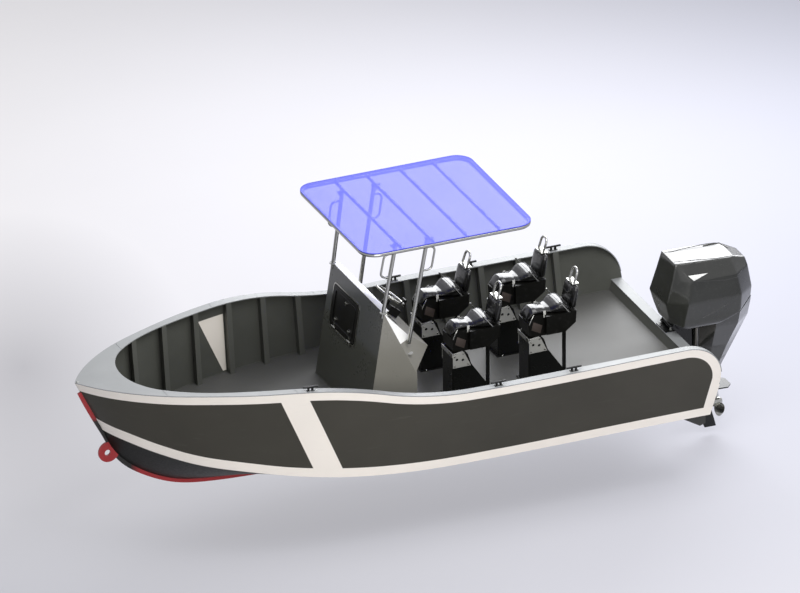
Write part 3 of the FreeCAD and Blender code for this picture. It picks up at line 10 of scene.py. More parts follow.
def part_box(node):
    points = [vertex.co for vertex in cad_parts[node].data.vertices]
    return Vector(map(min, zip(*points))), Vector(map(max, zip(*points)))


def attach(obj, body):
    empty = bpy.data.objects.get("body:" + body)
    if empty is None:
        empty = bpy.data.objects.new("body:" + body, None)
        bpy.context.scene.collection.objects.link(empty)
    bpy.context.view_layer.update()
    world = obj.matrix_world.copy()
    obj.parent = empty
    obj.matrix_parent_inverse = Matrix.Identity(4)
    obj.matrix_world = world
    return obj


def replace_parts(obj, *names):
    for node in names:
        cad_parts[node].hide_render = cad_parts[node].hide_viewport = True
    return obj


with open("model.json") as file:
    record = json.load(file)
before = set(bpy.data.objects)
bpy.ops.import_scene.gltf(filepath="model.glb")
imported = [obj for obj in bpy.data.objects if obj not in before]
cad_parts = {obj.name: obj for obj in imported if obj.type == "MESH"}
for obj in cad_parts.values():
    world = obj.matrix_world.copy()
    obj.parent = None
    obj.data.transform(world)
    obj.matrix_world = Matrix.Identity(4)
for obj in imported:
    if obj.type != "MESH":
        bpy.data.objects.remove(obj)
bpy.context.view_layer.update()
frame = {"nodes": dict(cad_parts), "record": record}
NODES = frame["nodes"]
SLOT_OF = {s["node"]: s["material_slot"] for s in frame["record"]["subparts"]}
scene = bpy.context.scene


# Shader maths: a wrapped socket with operators, and one maker of nodes.

class Value:
    """What a node gives out.  Sums on values add their Math nodes."""

    def __init__(self, tree, out):
        self.tree = tree
        self.out = out

    def _math(self, operation, *args, clamp=False):
        return self.tree.node("ShaderNodeMath", 0, dict(enumerate(args)),
                              operation=operation, use_clamp=clamp)

    def __add__(self, other):
        return self._math("ADD", self, other)

    __radd__ = __add__

    def __sub__(self, other):
        return self._math("SUBTRACT", self, other)

    def __rsub__(self, other):
        return self._math("SUBTRACT", other, self)

    def __mul__(self, other):
        return self._math("MULTIPLY", self, other)

    __rmul__ = __mul__

    def __truediv__(self, other):
        return self._math("DIVIDE", self, other)

    def abs(self):
        return self._math("ABSOLUTE", self)

    def sqrt(self):
        return self._math("SQRT", self)

    def min(self, other):
        return self._math("MINIMUM", self, other)

    def max(self, other):
        return self._math("MAXIMUM", self, other)

    def above(self, edge, soft):
        """0 below edge and 1 above it, with a step that is soft wide."""
        return self._math("MULTIPLY_ADD", self - edge, 1.0 / soft, 0.5, clamp=True)

    def below(self, edge, soft):
        return 1.0 - self.above(edge, soft)

    def ramp(self, low, high, a=0.0, b=1.0):
        """a at low and b at high, held outside them."""
        return self.tree.node("ShaderNodeMapRange", 0, {0: self, 1: low, 2: high, 3: a, 4: b})


def lay_curve(mapping, points):
    """Lays a Float Curve, which starts with two points, through points."""
    line = mapping.curves[0]
    for i, point in enumerate(points):
        if i < 2:
            line.points[i].location = point
        else:
            line.points.new(*point)
    mapping.update()


class Tree:
    """Nodes of one material or of the world."""

    def __init__(self, owner):
        owner.use_nodes = True
        self.tree = owner.node_tree
        self.tree.nodes.clear()

    def plug(self, socket, value):
        if isinstance(value, Value):
            self.tree.links.new(value.out, socket)
        elif isinstance(value, (int, float)):
            socket.default_value = float(value)
        else:
            value = tuple(value)
            if len(value) == 3 and len(socket.default_value) == 4:
                value += (1.0,)
            socket.default_value = value

    def node(self, kind, output=0, sockets=None, **settings):
        """Any node: settings first, then values or links of its sockets.

        Gives the output named, one for each of a tuple, or the node for None.
        """
        made = self.tree.nodes.new(kind)
        for key, setting in settings.items():
            if key == "curve":
                lay_curve(made.mapping, setting)
            else:
                setattr(made, key, setting)
        for key, value in (sockets or {}).items():
            self.plug(made.inputs[key], value)
        if output is None:
            return made
        if isinstance(output, tuple):
            return [Value(self, made.outputs[key]) for key in output]
        return Value(self, made.outputs[output])


class Finish(Tree):
    """One procedural material: a Principled shader and what varies over it."""

    def __init__(self, name, **fixed):
        self.mat = bpy.data.materials.new(name)
        super().__init__(self.mat)
        self.shader = self.node("ShaderNodeBsdfPrincipled", None)
        self.out = self.node("ShaderNodeOutputMaterial", None, {0: self.shaded()})
        self.set(**fixed)

    def shaded(self):
        return Value(self, self.shader.outputs[0])

    def set(self, **values):
        for key, value in values.items():
            self.plug(self.shader.inputs[key.replace("_", " ")], value)

    def split(self, vector):
        return self.node("ShaderNodeSeparateXYZ", (0, 1, 2), {0: vector})

    def place(self):
        """x, y and z of the point on the boat, and the three as a vector."""
        vector = self.node("ShaderNodeTexCoord", "Object")
        return [*self.split(vector), vector]

    def facing(self):
        """x, y and z of the way that the surface faces."""
        return self.split(self.node("ShaderNodeTexCoord", "Normal"))

    def noise(self, vector, scale, detail=3.0, rough=0.5, stretch=(1, 1, 1)):
        if stretch != (1, 1, 1):
            vector = self.node("ShaderNodeVectorMath", 0, {0: vector, 1: stretch},
                               operation="MULTIPLY")
        return self.node("ShaderNodeTexNoise", 0, {"Vector": vector, "Scale": scale,
                                                   "Detail": detail, "Roughness": rough})

    def mix(self, factor, a, b):
        return self.node("ShaderNodeMix", 2, {0: factor, 6: a, 7: b}, data_type="RGBA")

    def uneven(self, cloud, color, low, high, span=(0.3, 0.7)):
        """Colour that a cloud of noise darkens to low and lightens to high."""
        return self.mix(cloud.ramp(*span), shade(color, low), shade(color, high))

    def bump(self, height, distance, strength):
        self.set(Normal=self.node("ShaderNodeBump", 0, {"Height": height, "Distance": distance,
                                                        "Strength": strength}))


def linear(r, g, b):
    """Screen colour of 0 to 255 as the linear colour that a shader takes."""
    out = []
    for c in (r, g, b):
        c = c / 255.0
        out.append(c / 12.92 if c <= 0.04045 else ((c + 0.055) / 1.055) ** 2.4)
    return tuple(out)


def shade(color, share):
    return tuple(c * share for c in color)


# Finishes

CLOUD = (0.3, 0.7)      # what is used of a noise's range
TIGHT = (0.35, 0.65)
PEEL = 260              # size of the orange peel in sprayed paint

# gunwale seen from the side, as in the solids
RAIL_FWD, RAIL_AFT = 1.105, 0.848
STEP_FWD, STEP_AFT = 1.45, -0.55
STERN_X, STERN_ROUND, STERN_RAKE = -3.5, 0.45, 0.16
# bands of the side paint: below the gunwale, above the chine, and the stripe
RAIL_BAND, CHINE_BAND = 0.108, 0.112
STRIPE_AFT, STRIPE_FWD, STRIPE_RAKE = 0.83, 1.133, 0.45
DECK_Z = 0.295
# the chine's height at places along the boat
CHINE = ((-3.6, -0.100), (-2.15, -0.105), (-1.0, -0.115), (0.06, -0.101), (1.1, -0.003),
         (1.967, 0.145), (2.346, 0.218), (2.704, 0.325), (3.036, 0.449), (3.19, 0.5),
         (3.6, 0.72))
CURVE_X, CURVE_LONG, CURVE_Z = 3.6, 7.2, 0.2    # brings it into a curve's range


def painted(name, color, rough=0.4, coat=0.0, scale=1.0):
    """Sprayed paint: slight orange peel and an uneven sheen."""
    m = Finish(name, Coat_Weight=coat, Coat_Roughness=0.15, Specular_IOR_Level=0.3)
    *_, v = m.place()
    cloud = m.noise(v, 1.7 * scale, 4)
    fine = m.noise(v, 34 * scale, 3)
    m.set(Base_Color=m.uneven(cloud, color, 0.93, 1.07),
          Roughness=cloud.ramp(*CLOUD, rough - 0.05, rough + 0.05) + (fine - 0.5) * 0.08)
    m.bump(m.noise(v, PEEL * scale, 2), 0.0004, 0.25)
    return m


def from_rail(x, z):
    """How far in from the gunwale and the stern's edge a point of the side is."""
    length = STEP_FWD - STEP_AFT
    fall = RAIL_FWD - RAIL_AFT
    big = (length * length + fall * fall) / (4 * fall)
    a = (STEP_FWD - x).max(0.0).min(length / 2)
    b = (x - STEP_AFT).max(0.0).min(length / 2)
    sink = big - (big * big - a * a).sqrt()
    rise = big - (big * big - b * b).sqrt()
    over = RAIL_FWD - fall / 2 - sink + rise - z
    # the rounded corner at the stern, and the raked edge below it
    cx, cz = STERN_X + STERN_ROUND, RAIL_AFT - STERN_ROUND
    dx, dz = (cx - x).max(0.0), (z - cz).max(0.0)
    corner = STERN_ROUND - (dx * dx + dz * dz).sqrt()
    aft = x.below(cx, 0.002)
    over = over * (1.0 - aft) + corner * aft
    raked = x - STERN_X - (cz - z).max(0.0) * STERN_RAKE
    return over.min(raked + z.above(cz, 0.002) * 9.0)


def hull_paint():
    """Dark sides with cream bands, a black bottom and plain inner faces."""
    dark, cream = linear(65, 63, 56), linear(248, 241, 230)
    m = Finish("hull_paint", Coat_Roughness=0.12, Specular_IOR_Level=0.12)
    x, y, z, v = m.place()
    wobble = (m.noise(v, 5, 2) - 0.5) * 0.002
    rail_band = (from_rail(x, z) + wobble).below(RAIL_BAND, 0.003)
    points = [((px + CURVE_X) / CURVE_LONG, pz + CURVE_Z) for px, pz in CHINE]
    chine = m.node("ShaderNodeFloatCurve", 0, {"Value": (x + CURVE_X) / CURVE_LONG},
                   curve=points) - CURVE_Z
    up = z - chine
    chine_band = (up + wobble).below(CHINE_BAND, 0.003) * up.above(-0.012, 0.003)
    slant = x - z * STRIPE_RAKE
    stripe = slant.below(STRIPE_FWD, 0.004) * slant.above(STRIPE_AFT, 0.004)
    bands = rail_band.max(chine_band).max(stripe * up.above(0.0, 0.004))
    bottom = up.below(-0.010, 0.004)
    cloud = m.noise(v, 1.1, 5)
    fine = m.noise(v, 45, 3)
    scuff = m.noise(v, 7, 6, 0.7, (0.35, 1, 3.5)).ramp(0.60, 0.74)
    color = m.mix(bands, m.uneven(cloud, dark, 0.94, 1.08, TIGHT),
                  m.uneven(cloud, cream, 0.95, 1.0))
    color = m.mix(bottom, color, linear(17, 17, 13))
    color = m.mix(scuff * 0.10, color, linear(120, 118, 110))
    # the inner faces are plain dark paint, apart from one light patch
    inside = (m.facing()[1] * y).below(0.0, 0.01) * z.above(DECK_Z, 0.002)
    patch = (slant.below(STRIPE_FWD, 0.003) * x.above(1.235, 0.003) * z.below(0.945, 0.004)
             * z.above(0.32, 0.003) * (x + z * 0.85).above(1.0, 0.003))
    inner = m.uneven(m.noise(v, 2.6, 5), linear(78, 79, 74), 0.90, 1.05, (0.35, 0.7))
    inner = m.mix(patch, inner, shade(cream, 0.82))
    m.set(Base_Color=m.mix(inside, color, inner),
          Roughness=fine.ramp(*CLOUD, 0.32, 0.42) + scuff * 0.15,
          Coat_Weight=(1.0 - bottom) * 0.08)
    m.bump(m.noise(v, 220, 2) + m.noise(v, 1.6, 1) * 3.0, 0.0005, 0.2)
    return m


def keel_paint():
    """Red wear bar, dark along the forefoot either side of the eye."""
    eye_x, eye_z, eye_round = 3.1045, 0.205, 0.122
    m = Finish("keel_paint", Coat_Weight=0.3, Coat_Roughness=0.15, Specular_IOR_Level=0.3)
    x, y, z, v = m.place()
    cloud = m.noise(v, 1.7, 4)
    off = ((x - eye_x) * (x - eye_x) + (z - eye_z) * (z - eye_z)).sqrt()
    red = x.below(2.79, 0.12).max(z.above(0.62, 0.05)).max(off.below(eye_round, 0.004))
    base = m.mix(cloud.ramp(*CLOUD), linear(160, 40, 42), linear(182, 48, 50))
    m.set(Base_Color=m.mix(red, linear(30, 29, 26), base),
          Roughness=cloud.ramp(*CLOUD, 0.3, 0.4) + (m.noise(v, 34, 3) - 0.5) * 0.08)
    m.bump(m.noise(v, PEEL, 2), 0.0004, 0.25)
    return m


def console_paint():
    """Satin grey paint, with painted shade on the faces that look forward and a painted highlight
    on the chamfers beside the dash.
    """
    m = Finish("console_paint", Coat_Weight=0.25, Coat_Roughness=0.15, Specular_IOR_Level=0.3)
    x, y, z, v = m.place()
    nx, ny, nz = m.facing()
    cloud = m.noise(v, 1.7, 4)
    fine = m.noise(v, 34, 3)
    # painted highlight: chamfers that face up and to the side, above 1.19 m, are painted near
    # white
    chamfer_highlight = (ny.abs().above(0.25, 0.02) * ny.abs().below(0.97, 0.02)
               * nz.above(0.15, 0.02) * z.above(1.19, 0.004))
    base = m.uneven(cloud, linear(132, 130, 122), 0.95, 1.05)
    # painted shade: faces that look forward are painted darker, darkest below 1.02 m and lighter
    # above 1.10 m
    front_shade = m.mix(z.ramp(1.02, 1.10), linear(78, 79, 72), linear(90, 92, 90))
    base = m.mix(nx.above(0.5, 0.02), base, front_shade)
    base = m.mix(chamfer_highlight, base, linear(250, 250, 246))
    m.set(Base_Color=base, Roughness=cloud.ramp(*CLOUD, 0.25, 0.35) + (fine - 0.5) * 0.08)
    m.bump(m.noise(v, PEEL, 2), 0.0003, 0.2)
    return m


def metal(name, color, rough, grain, brushed, metallic=1.0):
    """Metal with hairlines along its grain and uneven smears."""
    m = Finish(name, Metallic=metallic)
    *_, v = m.place()
    cloud = m.noise(v, 3.0, 4)
    hair = m.noise(v, 90, 4, 0.6, grain)
    smear = m.noise(v, 14, 4, 0.6)
    m.set(Base_Color=m.uneven(cloud, color, 0.94, 1.04),
          Roughness=rough + (hair - 0.5) * 0.22 * brushed + (smear - 0.5) * 0.10)
    m.bump(hair, 0.0002, 0.22 * brushed)
    return m


def deck_paint():
    """Gritty deck paint with faint stains."""
    color = linear(78, 78, 75)
    m = Finish("deck_plate")
    *_, v = m.place()
    cloud = m.noise(v, 0.9, 5, 0.55)
    stain = m.noise(v, 4.2, 5, 0.65).ramp(0.52, 0.72)
    grit = m.noise(v, 380, 2)
    base = m.uneven(cloud, color, 0.93, 1.05, TIGHT)
    m.set(Base_Color=m.mix(stain * 0.22, base, shade(color, 0.7)),
          Roughness=cloud.ramp(*CLOUD, 0.48, 0.6) + (grit - 0.5) * 0.12)
    m.bump(grit, 0.0008, 0.5)
    return m


def plastic(name, color, rough, coat=0.0, grain=300, depth=0.0003):
    """Moulded plastic with a fine grain and a little dust."""
    m = Finish(name, Coat_Weight=coat, Coat_Roughness=0.06, Specular_IOR_Level=0.25)
    *_, v = m.place()
    cloud = m.noise(v, 4, 4)
    dust = m.noise(v, 22, 5, 0.7).ramp(0.55, 0.8)
    m.set(Base_Color=m.mix(dust * 0.10, m.uneven(cloud, color, 0.9, 1.1),
                           linear(120, 120, 118)),
          Roughness=cloud.ramp(*CLOUD, rough - 0.04, rough + 0.04) + dust * 0.12)
    m.bump(m.noise(v, grain, 2), depth, 0.3)
    return m


def leather(name, color):
    """Glossy covering with small cells and creases."""
    m = Finish(name, Coat_Weight=0.85, Coat_Roughness=0.09, Specular_IOR_Level=0.2)
    *_, v = m.place()
    cell = m.node("ShaderNodeTexVoronoi", 0, {"Vector": v, "Scale": 420.0})
    crease = m.noise(v, 60, 5, 0.6)
    m.set(Base_Color=m.uneven(m.noise(v, 6, 4), color, 0.85, 1.2),
          Roughness=crease.ramp(*CLOUD, 0.30, 0.42))
    m.bump(cell * 0.6 + crease, 0.0004, 0.2)
    return m


def tinted_sheet():
    """Blue sheet that lets half of the light through."""
    color = linear(88, 97, 246)
    m = Finish("tinted_sheet", Specular_IOR_Level=0.06)
    *_, v = m.place()
    cloud = m.noise(v, 2.2, 4)
    haze = m.noise(v, 11, 5, 0.7).ramp(0.5, 0.8)
    m.set(Base_Color=m.uneven(cloud, color, 0.97, 1.0),
          Roughness=cloud.ramp(*CLOUD, 0.30, 0.36) + haze * 0.05,
          Alpha=cloud.ramp(*CLOUD, 0.50, 0.52))
    m.bump(m.noise(v, 300, 2), 0.0001, 0.1)
    return m


FINISHES = {
    "hull_paint": hull_paint(),
    "deck_plate": deck_paint(),
    "bare_alloy": metal("bare_alloy", linear(142, 144, 144), 0.5, (1, 12, 1), 0.5, 0.2),
    "inner_paint": painted("inner_paint", linear(80, 81, 76), 0.42),
    "red_paint": painted("red_paint", linear(176, 42, 44), 0.35, coat=0.3),
    "keel_paint": keel_paint(),
    "dark_paint": painted("dark_paint", linear(50, 50, 46), 0.34, coat=0.3),
    "black_paint": painted("black_paint", linear(10, 11, 10), 0.30, coat=0.15, scale=2),
    "grey_paint": painted("grey_paint", linear(150, 150, 146), 0.35, coat=0.2, scale=2),
    "console_paint": console_paint(),
    "bright_steel": metal("bright_steel", linear(176, 176, 171), 0.2, (1, 1, 9), 0.35),
    "dark_plastic": plastic("dark_plastic", linear(14, 14, 12), 0.34),
    "gloss_black": plastic("gloss_black", linear(40, 41, 37), 0.3, 1.0, 900, 0.0001),
    "black_leather": leather("black_leather", linear(9, 9, 8)),
    "tinted_sheet": tinted_sheet(),
    "cast_block": metal("cast_block", linear(110, 108, 104), 0.5, (1, 1, 1), 0.4),
    # pale grey of the painted highlights on the saddles' waists
    "highlight_grey": painted("highlight_grey", linear(190, 190, 184), 0.4),
    # grey of the painted light on the pods' lower sides
    "lit_face_grey": painted("lit_face_grey", linear(66, 58, 54), 0.5),
    # near white paint of the painted highlights on the console and the cowl
    "painted_highlight": painted("painted_highlight", linear(236, 236, 232), 0.25, coat=0.4),
    "screen_glass": plastic("screen_glass", linear(10, 12, 14), 0.06, 1.0, 900, 0.00005),
    "mark_white": painted("mark_white", linear(232, 232, 226), 0.4),
    "top_dark": painted("top_dark", linear(110, 114, 190), 0.3),
}


def wear(obj, key):
    obj.data.materials.clear()
    obj.data.materials.append(FINISHES[key].mat)


for name, obj in NODES.items():
    wear(obj, "keel_paint" if name == "keel_bar" else SLOT_OF[name])


def shade_round(mesh, degrees):
    """Round shading, with a crease where faces meet at more than degrees."""
    for poly in mesh.polygons:
        poly.use_smooth = True
    bm = bmesh.new()
    bm.from_mesh(mesh)
    for edge in bm.edges:
        sharp = len(edge.link_faces) != 2 or edge.calc_face_angle(0.0) > math.radians(degrees)
        edge.smooth = not sharp
    bm.to_mesh(mesh)
    bm.free()


def mesh_of(name, bm):
    """Turns mesh code into a mesh."""
    if not bm.faces:
        raise ValueError("piece %s is empty" % name)
    mesh = bpy.data.meshes.new(name)
    bm.to_mesh(mesh)
    bm.free()
    return mesh


def placed(name, mesh):
    obj = bpy.data.objects.new(name, mesh)
    scene.collection.objects.link(obj)
    return obj


def piece(name, bm, key, body, degrees=30):
    """Turns mesh code into a piece with a finish, riding on a body."""
    bm.normal_update()
    obj = placed(name, mesh_of(name, bm))
    wear(obj, key)
    shade_round(obj.data, degrees)
    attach(obj, body)
    return obj


# Camera: a parallel view from ahead of the port beam, from above

WIDTH, HEIGHT = 800, 593
PER_METRE = 93.22       # pixels
YAW, ELEVATION = math.radians(23.74), math.radians(25.99)
AIM = Vector((-0.3123, 0.0, 1.385))
RIGHT = Vector((-math.cos(YAW), math.sin(YAW), 0))
UP = Vector((-math.sin(YAW) * math.sin(ELEVATION), -math.cos(YAW) * math.sin(ELEVATION),
             math.cos(ELEVATION)))
BACK = Vector((math.sin(YAW) * math.cos(ELEVATION), math.cos(YAW) * math.cos(ELEVATION),
               math.sin(ELEVATION)))
cam_data = bpy.data.cameras.new("camera")
cam_data.type = "ORTHO"
cam_data.ortho_scale = WIDTH / PER_METRE
cam_data.clip_end = 200
cam = placed("camera", cam_data)
turn = Matrix((RIGHT, UP, BACK)).transposed().to_4x4()
cam.matrix_world = Matrix.Translation(AIM + BACK * 30) @ turn
scene.camera = cam


# Mesh code for fittings: bars, bent plates, turned forms and bolts

def skin(bm, rings, closed=False):
    """Faces between rings of points, and over both ends unless closed."""
    count = len(rings[0])
    for a, b in zip(rings, rings[1:] + (rings[:1] if closed else [])):
        for k in range(count):
            bm.faces.new((a[k], a[(k + 1) % count], b[(k + 1) % count], b[k]))


def bar(bm, points, radius, sides=10, closed=False):
    """Round bar through points, with its own radius at each one if given."""
    pts = [Vector(p) for p in points]
    count = len(pts)
    rings = []
    across = None
    for i, p in enumerate(pts):
        before = pts[i - 1] if i > 0 or closed else p
        after = pts[(i + 1) % count] if i < count - 1 or closed else p
        way = (after - before).normalized()
        if across is None:
            across = way.orthogonal()
        across = (across - way * across.dot(way)).normalized()
        other = way.cross(across)
        r = radius[i] if isinstance(radius, (list, tuple)) else radius
        ring = []
        for k in range(sides):
            angle = 2 * math.pi * k / sides
            ring.append(bm.verts.new(p + (across * math.cos(angle)
                                          + other * math.sin(angle)) * r))
        rings.append(ring)
    skin(bm, rings, closed)
    if not closed:
        bm.faces.new(rings[0][::-1])
        bm.faces.new(rings[-1])


def rounded(points, radius, steps=5):
    """Corners of a path replaced by short curves."""
    pts = [Vector(p) for p in points]
    out = [pts[0]]
    for a, b, c in zip(pts, pts[1:], pts[2:]):
        r = min(radius, (a - b).length * 0.48, (c - b).length * 0.48)
        p, q = b + (a - b).normalized() * r, b + (c - b).normalized() * r
        for k in range(steps + 1):
            t = k / steps
            out.append(p * (1 - t) ** 2 + b * (2 * t * (1 - t)) + q * t ** 2)
    return out + [pts[-1]]


def dense(points, steps):
    """Each straight of a path in small steps, without its last point."""
    return [Vector(a).lerp(Vector(b), k / steps)
            for a, b in zip(points, points[1:]) for k in range(steps)]


def sheet_metal(bm, corners, way, thick, edge=0.0012):
    """Plate on an outline of corners, thick along way, with eased edges."""
    way = Vector(way).normalized() * thick
    low = [bm.verts.new(Vector(c)) for c in corners]
    high = [bm.verts.new(Vector(c) + way) for c in corners]
    count = len(corners)
    faces = [bm.faces.new(low[::-1]), bm.faces.new(high)]
    for k in range(count):
        faces.append(bm.faces.new((low[k], low[(k + 1) % count], high[(k + 1) % count],
                                   high[k])))
    bmesh.ops.recalc_face_normals(bm, faces=faces)
    edges = list(dict.fromkeys(e for f in faces for e in f.edges))
    bmesh.ops.bevel(bm, geom=edges, offset=min(edge, thick * 0.3), segments=2,
                    affect="EDGES", profile=0.5)


def turned(bm, place, axis, profile, sides=20):
    """Form turned about an axis: distances along it, each with a radius."""
    axis = Vector(axis).normalized()
    across = axis.orthogonal().normalized()
    other = axis.cross(across)
    rings = []
    for along, r in profile:
        base = Vector(place) + axis * along
        angles = [2 * math.pi * k / sides for k in range(sides)]
        rings.append([bm.verts.new(base + (across * math.cos(a) + other * math.sin(a)) * r)
                      for a in angles])
    skin(bm, rings)
    bm.faces.new(rings[0][::-1])
    bm.faces.new(rings[-1])


def bolt(bm, place, axis, r):
    """Washer and hexagon head with a domed top."""
    turned(bm, place, axis, [(-0.001, r * 1.7), (r * 0.25, r * 1.7), (r * 0.32, r * 1.6)], 18)
    turned(bm, place, axis, [(r * 0.25, r * 1.05), (r * 0.95, r * 1.05), (r * 1.1, r * 0.85),
                             (r * 1.14, r * 0.3)], 6)


def mesh_tree(*meshes):
    """Search tree over the faces of some meshes."""
    verts, faces = [], []
    for mesh in meshes:
        shift = len(verts)
        verts += [v.co.copy() for v in mesh.vertices]
        faces += [[shift + i for i in p.vertices] for p in mesh.polygons]
    return BVHTree.FromPolygons(verts, faces)


def tree_of(*names):
    return mesh_tree(*(NODES[name].data for name in names))


def drop(tree, point, way=(0, 0, -1), lift=0.0):
    """Where a ray from point along way meets the tree, lifted off the surface."""
    hit, normal, _, _ = tree.ray_cast(Vector(point), Vector(way))
    if hit is None:
        return None
    if normal.dot(Vector(way)) > 0:
        normal = -normal
    return hit + normal * lift


def found(tree, points, way=(0, 0, -1), lift=0.0):
    """Where rays from some points meet the tree, without those that miss."""
    hits = [drop(tree, point, way, lift) for point in points]
    return [hit for hit in hits if hit is not None]


def at_pixel(tree, px, py, lift=0.0):
    """Point of the tree under a pixel of the camera's picture."""
    start = AIM + RIGHT * ((px - WIDTH / 2) / PER_METRE) - UP * ((py - HEIGHT / 2) / PER_METRE)
    return drop(tree, start + BACK * 20, -BACK, lift)


def along_pixels(tree, pixels, lift, step):
    """Closely spaced points of the tree along a line of pixels."""
    out = []
    for (ax, ay), (bx, by) in zip(pixels, pixels[1:]):
        count = max(int(math.hypot(bx - ax, by - ay) / step), 1)
        for k in range(count + 1):
            t = k / count
            hit = at_pixel(tree, ax + (bx - ax) * t, ay + (by - ay) * t, lift)
            if hit is not None and (not out or (hit - out[-1]).length > 0.002):
                out.append(hit)
    return out


def other_side(points):
    return [Vector((p[0], -p[1], p[2])) for p in points]


def side_plates(bm, points, thick, edge):
    """The same plate on both sides, thick outwards."""
    for corners in (points, other_side(points)):
        way = (corners[1] - corners[0]).cross(corners[2] - corners[0]).normalized()
        if way.y * corners[0].y < 0:
            way = -way
        sheet_metal(bm, corners, way, thick, edge)


def evaluated(obj):
    graph = bpy.context.evaluated_depsgraph_get()
    return bpy.data.meshes.new_from_object(obj.evaluated_get(graph), depsgraph=graph)


def remeshed(obj, voxel):
    remesh = obj.modifiers.new("remesh", "REMESH")
    remesh.mode = "VOXEL"
    remesh.voxel_size = voxel


# Seats: cushions drawn a little small, remeshed, inflated as cloth and held to
# a small travel, then copied to the four places.

SEATS = [(-0.905, 0.411, 0.3), (-0.905, -0.411, 0.3), (-1.799, 0.411, 0.3),
         (-1.799, -0.411, 0.3)]
BOTH = (1, -1)          # port and starboard, or the two sides of a seat
VOXEL = 0.008
FRAMES = 20
AROUND = 28             # points round a cushion
# the pod's top, which the saddle lies on, and where it falls away forward
POD_TOP, POD_BREAK, POD_FALL = 0.8225, 0.153, (0.822 - 0.750) / (0.208 - 0.153)


def pod_top(x):
    return POD_TOP - max(x - POD_BREAK, 0.0) * POD_FALL


def swell(obj, cap):
    """Inflates a closed form as cloth, each point by no more than cap."""
    cloth = obj.modifiers.new("cloth", "CLOTH")
    cloth.settings.quality = 5
    cloth.settings.mass = 0.3
    cloth.settings.tension_stiffness = 15
    cloth.settings.compression_stiffness = 15
    cloth.settings.bending_stiffness = 0.5
    cloth.settings.use_pressure = True
    cloth.settings.uniform_pressure_force = 4
    cloth.settings.effector_weights.gravity = 0
    cloth.point_cache.frame_start = 1
    cloth.point_cache.frame_end = FRAMES
    for frame_number in range(1, FRAMES + 1):
        scene.frame_set(frame_number)
    moves = [b.co - a.co for a, b in zip(obj.data.vertices, evaluated(obj).vertices)]
    obj.modifiers.clear()
    drift = sum(moves, Vector()) / len(moves)
    for v, move in zip(obj.data.vertices, moves):
        move = move - drift
        v.co += move if move.length <= cap else move.normalized() * cap
    scene.frame_set(1)


def inflate(name, bm, cap, lies_on=None):
    """Cushion mesh from a closed form, kept above what it lies on."""
    bmesh.ops.recalc_face_normals(bm, faces=bm.faces)
    obj = placed(name + "_form", mesh_of(name + "_form", bm))
    remeshed(obj, VOXEL)
    obj.data = evaluated(obj)
    obj.modifiers.clear()
    swell(obj, cap)
    if lies_on is not None:
        for v in obj.data.vertices:
            v.co.z = max(v.co.z, lies_on(v.co.x))
    finer = obj.modifiers.new("finer", "SUBSURF")
    finer.levels = finer.render_levels = 1
    done = evaluated(obj)
    done.name = name
    bpy.data.objects.remove(obj)
    for poly in done.polygons:
        poly.use_smooth = True
    return done


def copies(name, mesh, key, node=None):
    """The same piece in each seat.  Cushions stand for a node."""
    for i, place in enumerate(SEATS, 1):
        obj = placed("%s_%d" % (name, i), mesh if i == 1 else mesh.copy())
        obj.location = place
        wear(obj, key)
        bpy.context.view_layer.update()
        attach(obj, "hull")
        if node:
            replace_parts(obj, node)


def seat_pieces(name, bm, key, degrees=30):
    """Small fittings, the same in each seat."""
    bmesh.ops.recalc_face_normals(bm, faces=bm.faces)
    mesh = mesh_of(name, bm)
    shade_round(mesh, degrees)
    copies(name, mesh, key)


def seam(tree, points, lift):
    """Line of points moved to the nearest place of a cushion."""
    out = []
    for p in points:
        hit, normal, _, _ = tree.find_nearest(Vector(p))
        out.append(hit + normal * lift)
    return out


def squared(value, power):
    """Sine or cosine drawn out towards a square by a power below 1."""
    return math.copysign(abs(value) ** power, value)


def ring_of(bm, half, power_y, other_power, lift, point):
    """Ring of a cushion: half wide, crowned by lift on its upper or front side."""
    ring = []
    for k in range(AROUND):
        angle = 2 * math.pi * k / AROUND
        c, s = math.cos(angle), math.sin(angle)
        y = half * squared(c, power_y)
        crown = lift * (1 - (y / half) ** 2) if s > 0 else 0.0
        ring.append(bm.verts.new(point(y, squared(s, other_power), crown)))
    return ring


def close_ends(bm, rings):
    skin(bm, rings)
    bm.faces.new(rings[0])
    bm.faces.new(rings[-1][::-1])


# columns: x, half width, underside, top edge, crown, squareness
SADDLE = [
    (0.226, 0.086, 0.756, 0.778, 0.004, 0.7), (0.214, 0.104, 0.754, 0.806, 0.008, 0.7),
    (0.190, 0.114, 0.780, 0.842, 0.012, 0.7), (0.163, 0.118, 0.818, 0.864, 0.016, 0.7),
    (0.120, 0.118, 0.831, 0.866, 0.016, 0.7), (0.060, 0.114, 0.831, 0.862, 0.014, 0.65),
    (0.000, 0.120, 0.831, 0.856, 0.010, 0.6), (-0.050, 0.140, 0.831, 0.864, 0.006, 0.5),
    (-0.095, 0.162, 0.831, 0.896, 0.004, 0.4), (-0.135, 0.174, 0.831, 0.912, 0.005, 0.32),
    (-0.185, 0.177, 0.831, 0.916, 0.006, 0.3), (-0.225, 0.174, 0.831, 0.912, 0.005, 0.32),
    (-0.246, 0.160, 0.835, 0.892, 0.004, 0.42),
]
bm = bmesh.new()
close_ends(bm, [
    ring_of(bm, half, power, power, crown,
            lambda y, s, c: (x, y, (low + high) / 2 + (high - low) / 2 * s + c))
    for x, half, low, high, crown, power in SADDLE])
saddle = inflate("saddle", bm, 0.008, pod_top)
copies("saddle", saddle, "black_leather", "seat_saddles")
saddle_tree = mesh_tree(saddle)

